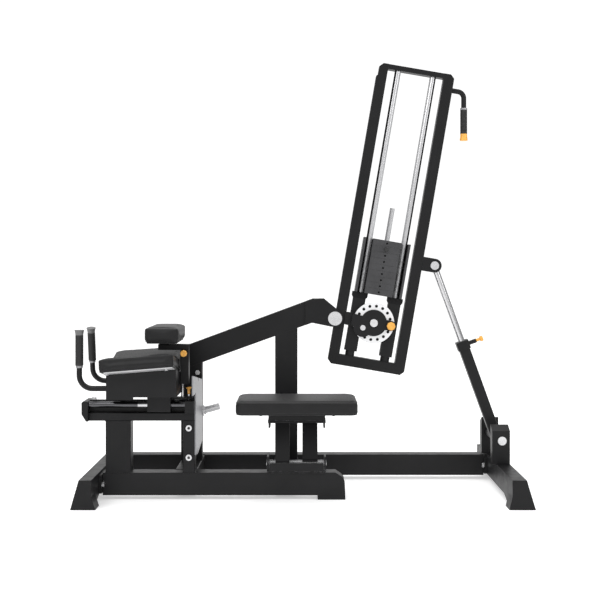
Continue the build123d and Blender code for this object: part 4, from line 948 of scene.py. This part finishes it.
def bead_loop(bm, points):
    """Rippled weld bead round a closed loop of straight runs."""
    sides = 8
    for start, end in zip(points, points[1:] + points[:1]):
        run = end - start
        count = max(2, round(run.length / (RIPPLE / 2)))
        place = facing(start, run)
        rings = []
        for step in range(count + 1):
            swell = 1.0 if step % 2 else 0.82
            wobble = 1 + 0.06 * sin(step * 1.7)
            rings.append([bm.verts.new(place @ Vector((
                BEAD * swell * wobble * cos(tau * side / sides),
                BEAD * swell * wobble * sin(tau * side / sides),
                run.length * step / count))) for side in range(sides)])
        for lower, upper in zip(rings, rings[1:]):
            for side in range(sides):
                after = (side + 1) % sides
                bm.faces.new((lower[side], lower[after], upper[after], upper[side]))
        bm.faces.new(list(reversed(rings[0])))
        bm.faces.new(rings[-1])


def flat_loop(low, high, z):
    """Corners of a level rectangle."""
    return [Vector((low.x, low.y, z)), Vector((high.x, low.y, z)),
            Vector((high.x, high.y, z)), Vector((low.x, high.y, z))]


welds = bmesh.new()
for points, _ in islands("frame_posts"):
    low, high = corners(points)
    bead_loop(welds, flat_loop(low, high, low.z))
    if high.z < LOW_POST:
        bead_loop(welds, flat_loop(low, high, high.z))
for points, _ in islands("cross_ties"):
    low, high = corners(points)
    for y in (low.y, high.y):
        bead_loop(welds, [Vector((low.x, y, low.z)), Vector((high.x, y, low.z)),
                          Vector((high.x, y, high.z)), Vector((low.x, y, high.z))])
add_piece("frame_welds", welds, black, "frame", sharp=80)


# ------------------------------------------------------------------ small fittings
def plate_gap_shade():
    """Thin dark strips in the gaps between the resting plates, near their front: painted shade
    that blocks the light through the gaps.
    """
    plates = sorted((points for points, _ in islands("resting_plates")),
                    key=lambda points: mean_along(points, TOWER_UP))
    bm = bmesh.new()
    for lower, upper in zip(plates, plates[1:]):
        bottom = max(point.dot(TOWER_UP) for point in lower) - 0.2 * MM
        top = min(point.dot(TOWER_UP) for point in upper) + 0.2 * MM
        spans = [point.dot(TOWER_ACROSS) for point in upper]
        front = min(point.y for point in upper)
        loops = [[bm.verts.new(TOWER_ACROSS * across + TOWER_UP * rise + Y_AXIS * depth)
                  for across, depth in ((min(spans) + 2 * MM, front + 3 * MM),
                                        (max(spans) - 2 * MM, front + 3 * MM),
                                        (max(spans) - 2 * MM, front + 15 * MM),
                                        (min(spans) + 2 * MM, front + 15 * MM))]
                 for rise in (bottom, top)]
        bm.faces.new(list(reversed(loops[0])))
        bm.faces.new(loops[1])
        for side in range(4):
            after = (side + 1) % 4
            bm.faces.new((loops[0][side], loops[0][after], loops[1][after], loops[1][side]))
    add_piece("plate_gap_shade_strips", bm, dark_plastic_and_shade, "tower")


plate_gap_shade()


SOCKET_BOLT = 27 * MM          # width of the heads with a hexagon socket
NEAR_SIDE = -0.25              # bolts in front of this Y face the near side


def socket_shade_discs():
    """Dark discs at the bottoms of the hexagon sockets of the wide bolts: painted shade in the
    recesses.
    """
    bm = bmesh.new()
    for points, _ in islands("frame_bolts"):
        low, high = corners(points)
        if low.y < NEAR_SIDE and abs(high.x - low.x - SOCKET_BOLT) < MM:
            place = facing(Vector(((low.x + high.x) / 2, low.y, (low.z + high.z) / 2)), -Y_AXIS)
            lathe([(0, -5.2 * MM), (6 * MM, -5.2 * MM), (6 * MM, -2 * MM), (0, -1.6 * MM)],
                  place, 24, bm=bm)
    add_piece("socket_shade_discs", bm, dark_plastic_and_shade, "frame")


socket_shade_discs()

# Ends of the bolts that hold the bench's cushion, seen under it.
BENCH_BOLT_X = (-186 * MM, 135 * MM)
BENCH_BOLT_Y = (-330 * MM, -110 * MM)
BOLT_TIP = 8 * MM

tips = bmesh.new()
bench_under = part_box("bench_cushion")[0].z
for x, y in ((x, y) for y in BENCH_BOLT_Y for x in BENCH_BOLT_X):
    lathe([(0, 0), (5 * MM, 0), (5.5 * MM, 0.8 * MM), (5.5 * MM, 4 * MM), (9 * MM, 4.2 * MM),
           (9 * MM, BOLT_TIP + MM), (0, BOLT_TIP + MM)],
          Matrix.Translation((x, y, bench_under - BOLT_TIP)), 24, bm=tips)
add_piece("bench_bolt_tips", tips, black, "seat")


# ------------------------------------------------------------------ floor and light
FLOOR_SIZE = 60
FLOOR_GLOW = 0.45              # lets the far floor meet the white background

floor_recipe = Recipe("studio_floor", (0.86, 0.86, 0.86), 0.6, specular=0.2)
floor_recipe.color = floor_recipe.mix(
    floor_recipe.spread(floor_recipe.noise(1.5), 0.3, 0.7), (0.86, 0.86, 0.86),
    (0.84, 0.84, 0.84))
floor_recipe.set("Emission Color", (1, 1, 1, 1))
floor_recipe.set("Emission Strength", FLOOR_GLOW)
floor_mesh = bpy.data.meshes.new("floor")
half = FLOOR_SIZE / 2
floor_mesh.from_pydata([(-half, -half, 0), (half, -half, 0), (half, half, 0), (-half, half, 0)],
                       [], [(0, 1, 2, 3)])
floor_mesh.materials.append(floor_recipe.finish())
floor = bpy.data.objects.new("floor", floor_mesh)
scene.collection.objects.link(floor)

REAR_GLOW = 0.8                # behind the camera
BACKDROP_GLOW = 1.08           # behind the machine
SIDE_GLOW = 0.28               # share of the light that both sides keep


def studio_world():
    """White studio, dimmer behind the camera and dark towards both sides."""
    world = bpy.data.worlds.new("studio")
    world.use_nodes = True
    tree = world.node_tree
    background = tree.nodes["Background"]

    def node(kind, operation, *values):
        made = tree.nodes.new(kind)
        made.operation = operation
        for index, value in enumerate(values):
            if isinstance(value, bpy.types.NodeSocket):
                tree.links.new(value, made.inputs[index])
            else:
                made.inputs[index].default_value = value
        return made.outputs[0]

    def spread(source, low, high, out_low, out_high):
        made = tree.nodes.new("ShaderNodeMapRange")
        made.interpolation_type = "SMOOTHSTEP"
        for key, value in (("From Min", low), ("From Max", high),
                           ("To Min", out_low), ("To Max", out_high)):
            made.inputs[key].default_value = value
        tree.links.new(source, made.inputs["Value"])
        return made.outputs["Result"]

    parts = tree.nodes.new("ShaderNodeSeparateXYZ")
    tree.links.new(tree.nodes.new("ShaderNodeTexCoord").outputs["Generated"], parts.inputs[0])
    depth = spread(parts.outputs["Y"], -0.4, 0.5, REAR_GLOW, BACKDROP_GLOW)
    sides = spread(node("ShaderNodeMath", "ABSOLUTE", parts.outputs["X"]), 0.4, 0.75,
                   1.0, SIDE_GLOW)
    ceiling = spread(parts.outputs["Z"], 0.35, 0.8, 0.0, 1.0)
    level = node("ShaderNodeMath", "MULTIPLY", depth, sides)
    strength = node("ShaderNodeMath", "MAXIMUM", level, ceiling)
    tree.links.new(strength, background.inputs["Strength"])
    background.inputs["Color"].default_value = (1, 1, 1, 1)
    return world


scene.world = studio_world()


def softbox(name, place, target, size, power):
    light = bpy.data.lights.new(name, "AREA")
    light.shape = "RECTANGLE"
    light.size, light.size_y = size
    light.energy = power
    lamp = bpy.data.objects.new(name, light)
    lamp.location = place
    aim = Vector(target) - Vector(place)
    lamp.rotation_euler = aim.to_track_quat("-Z", "Y").to_euler()
    scene.collection.objects.link(lamp)


# name, place, target, size in metres and power in watts
softbox("key", (-2.6, -3.4, 3.8), (0, 0, 0.7), (2.4, 2.4), 90)
softbox("fill", (3.4, -2.6, 2.6), (0, 0, 0.8), (2.0, 2.0), 40)
softbox("top", (0, 0.2, 4.6), (0, 0, 0), (3.0, 2.0), 70)

scene.view_settings.view_transform = "Standard"
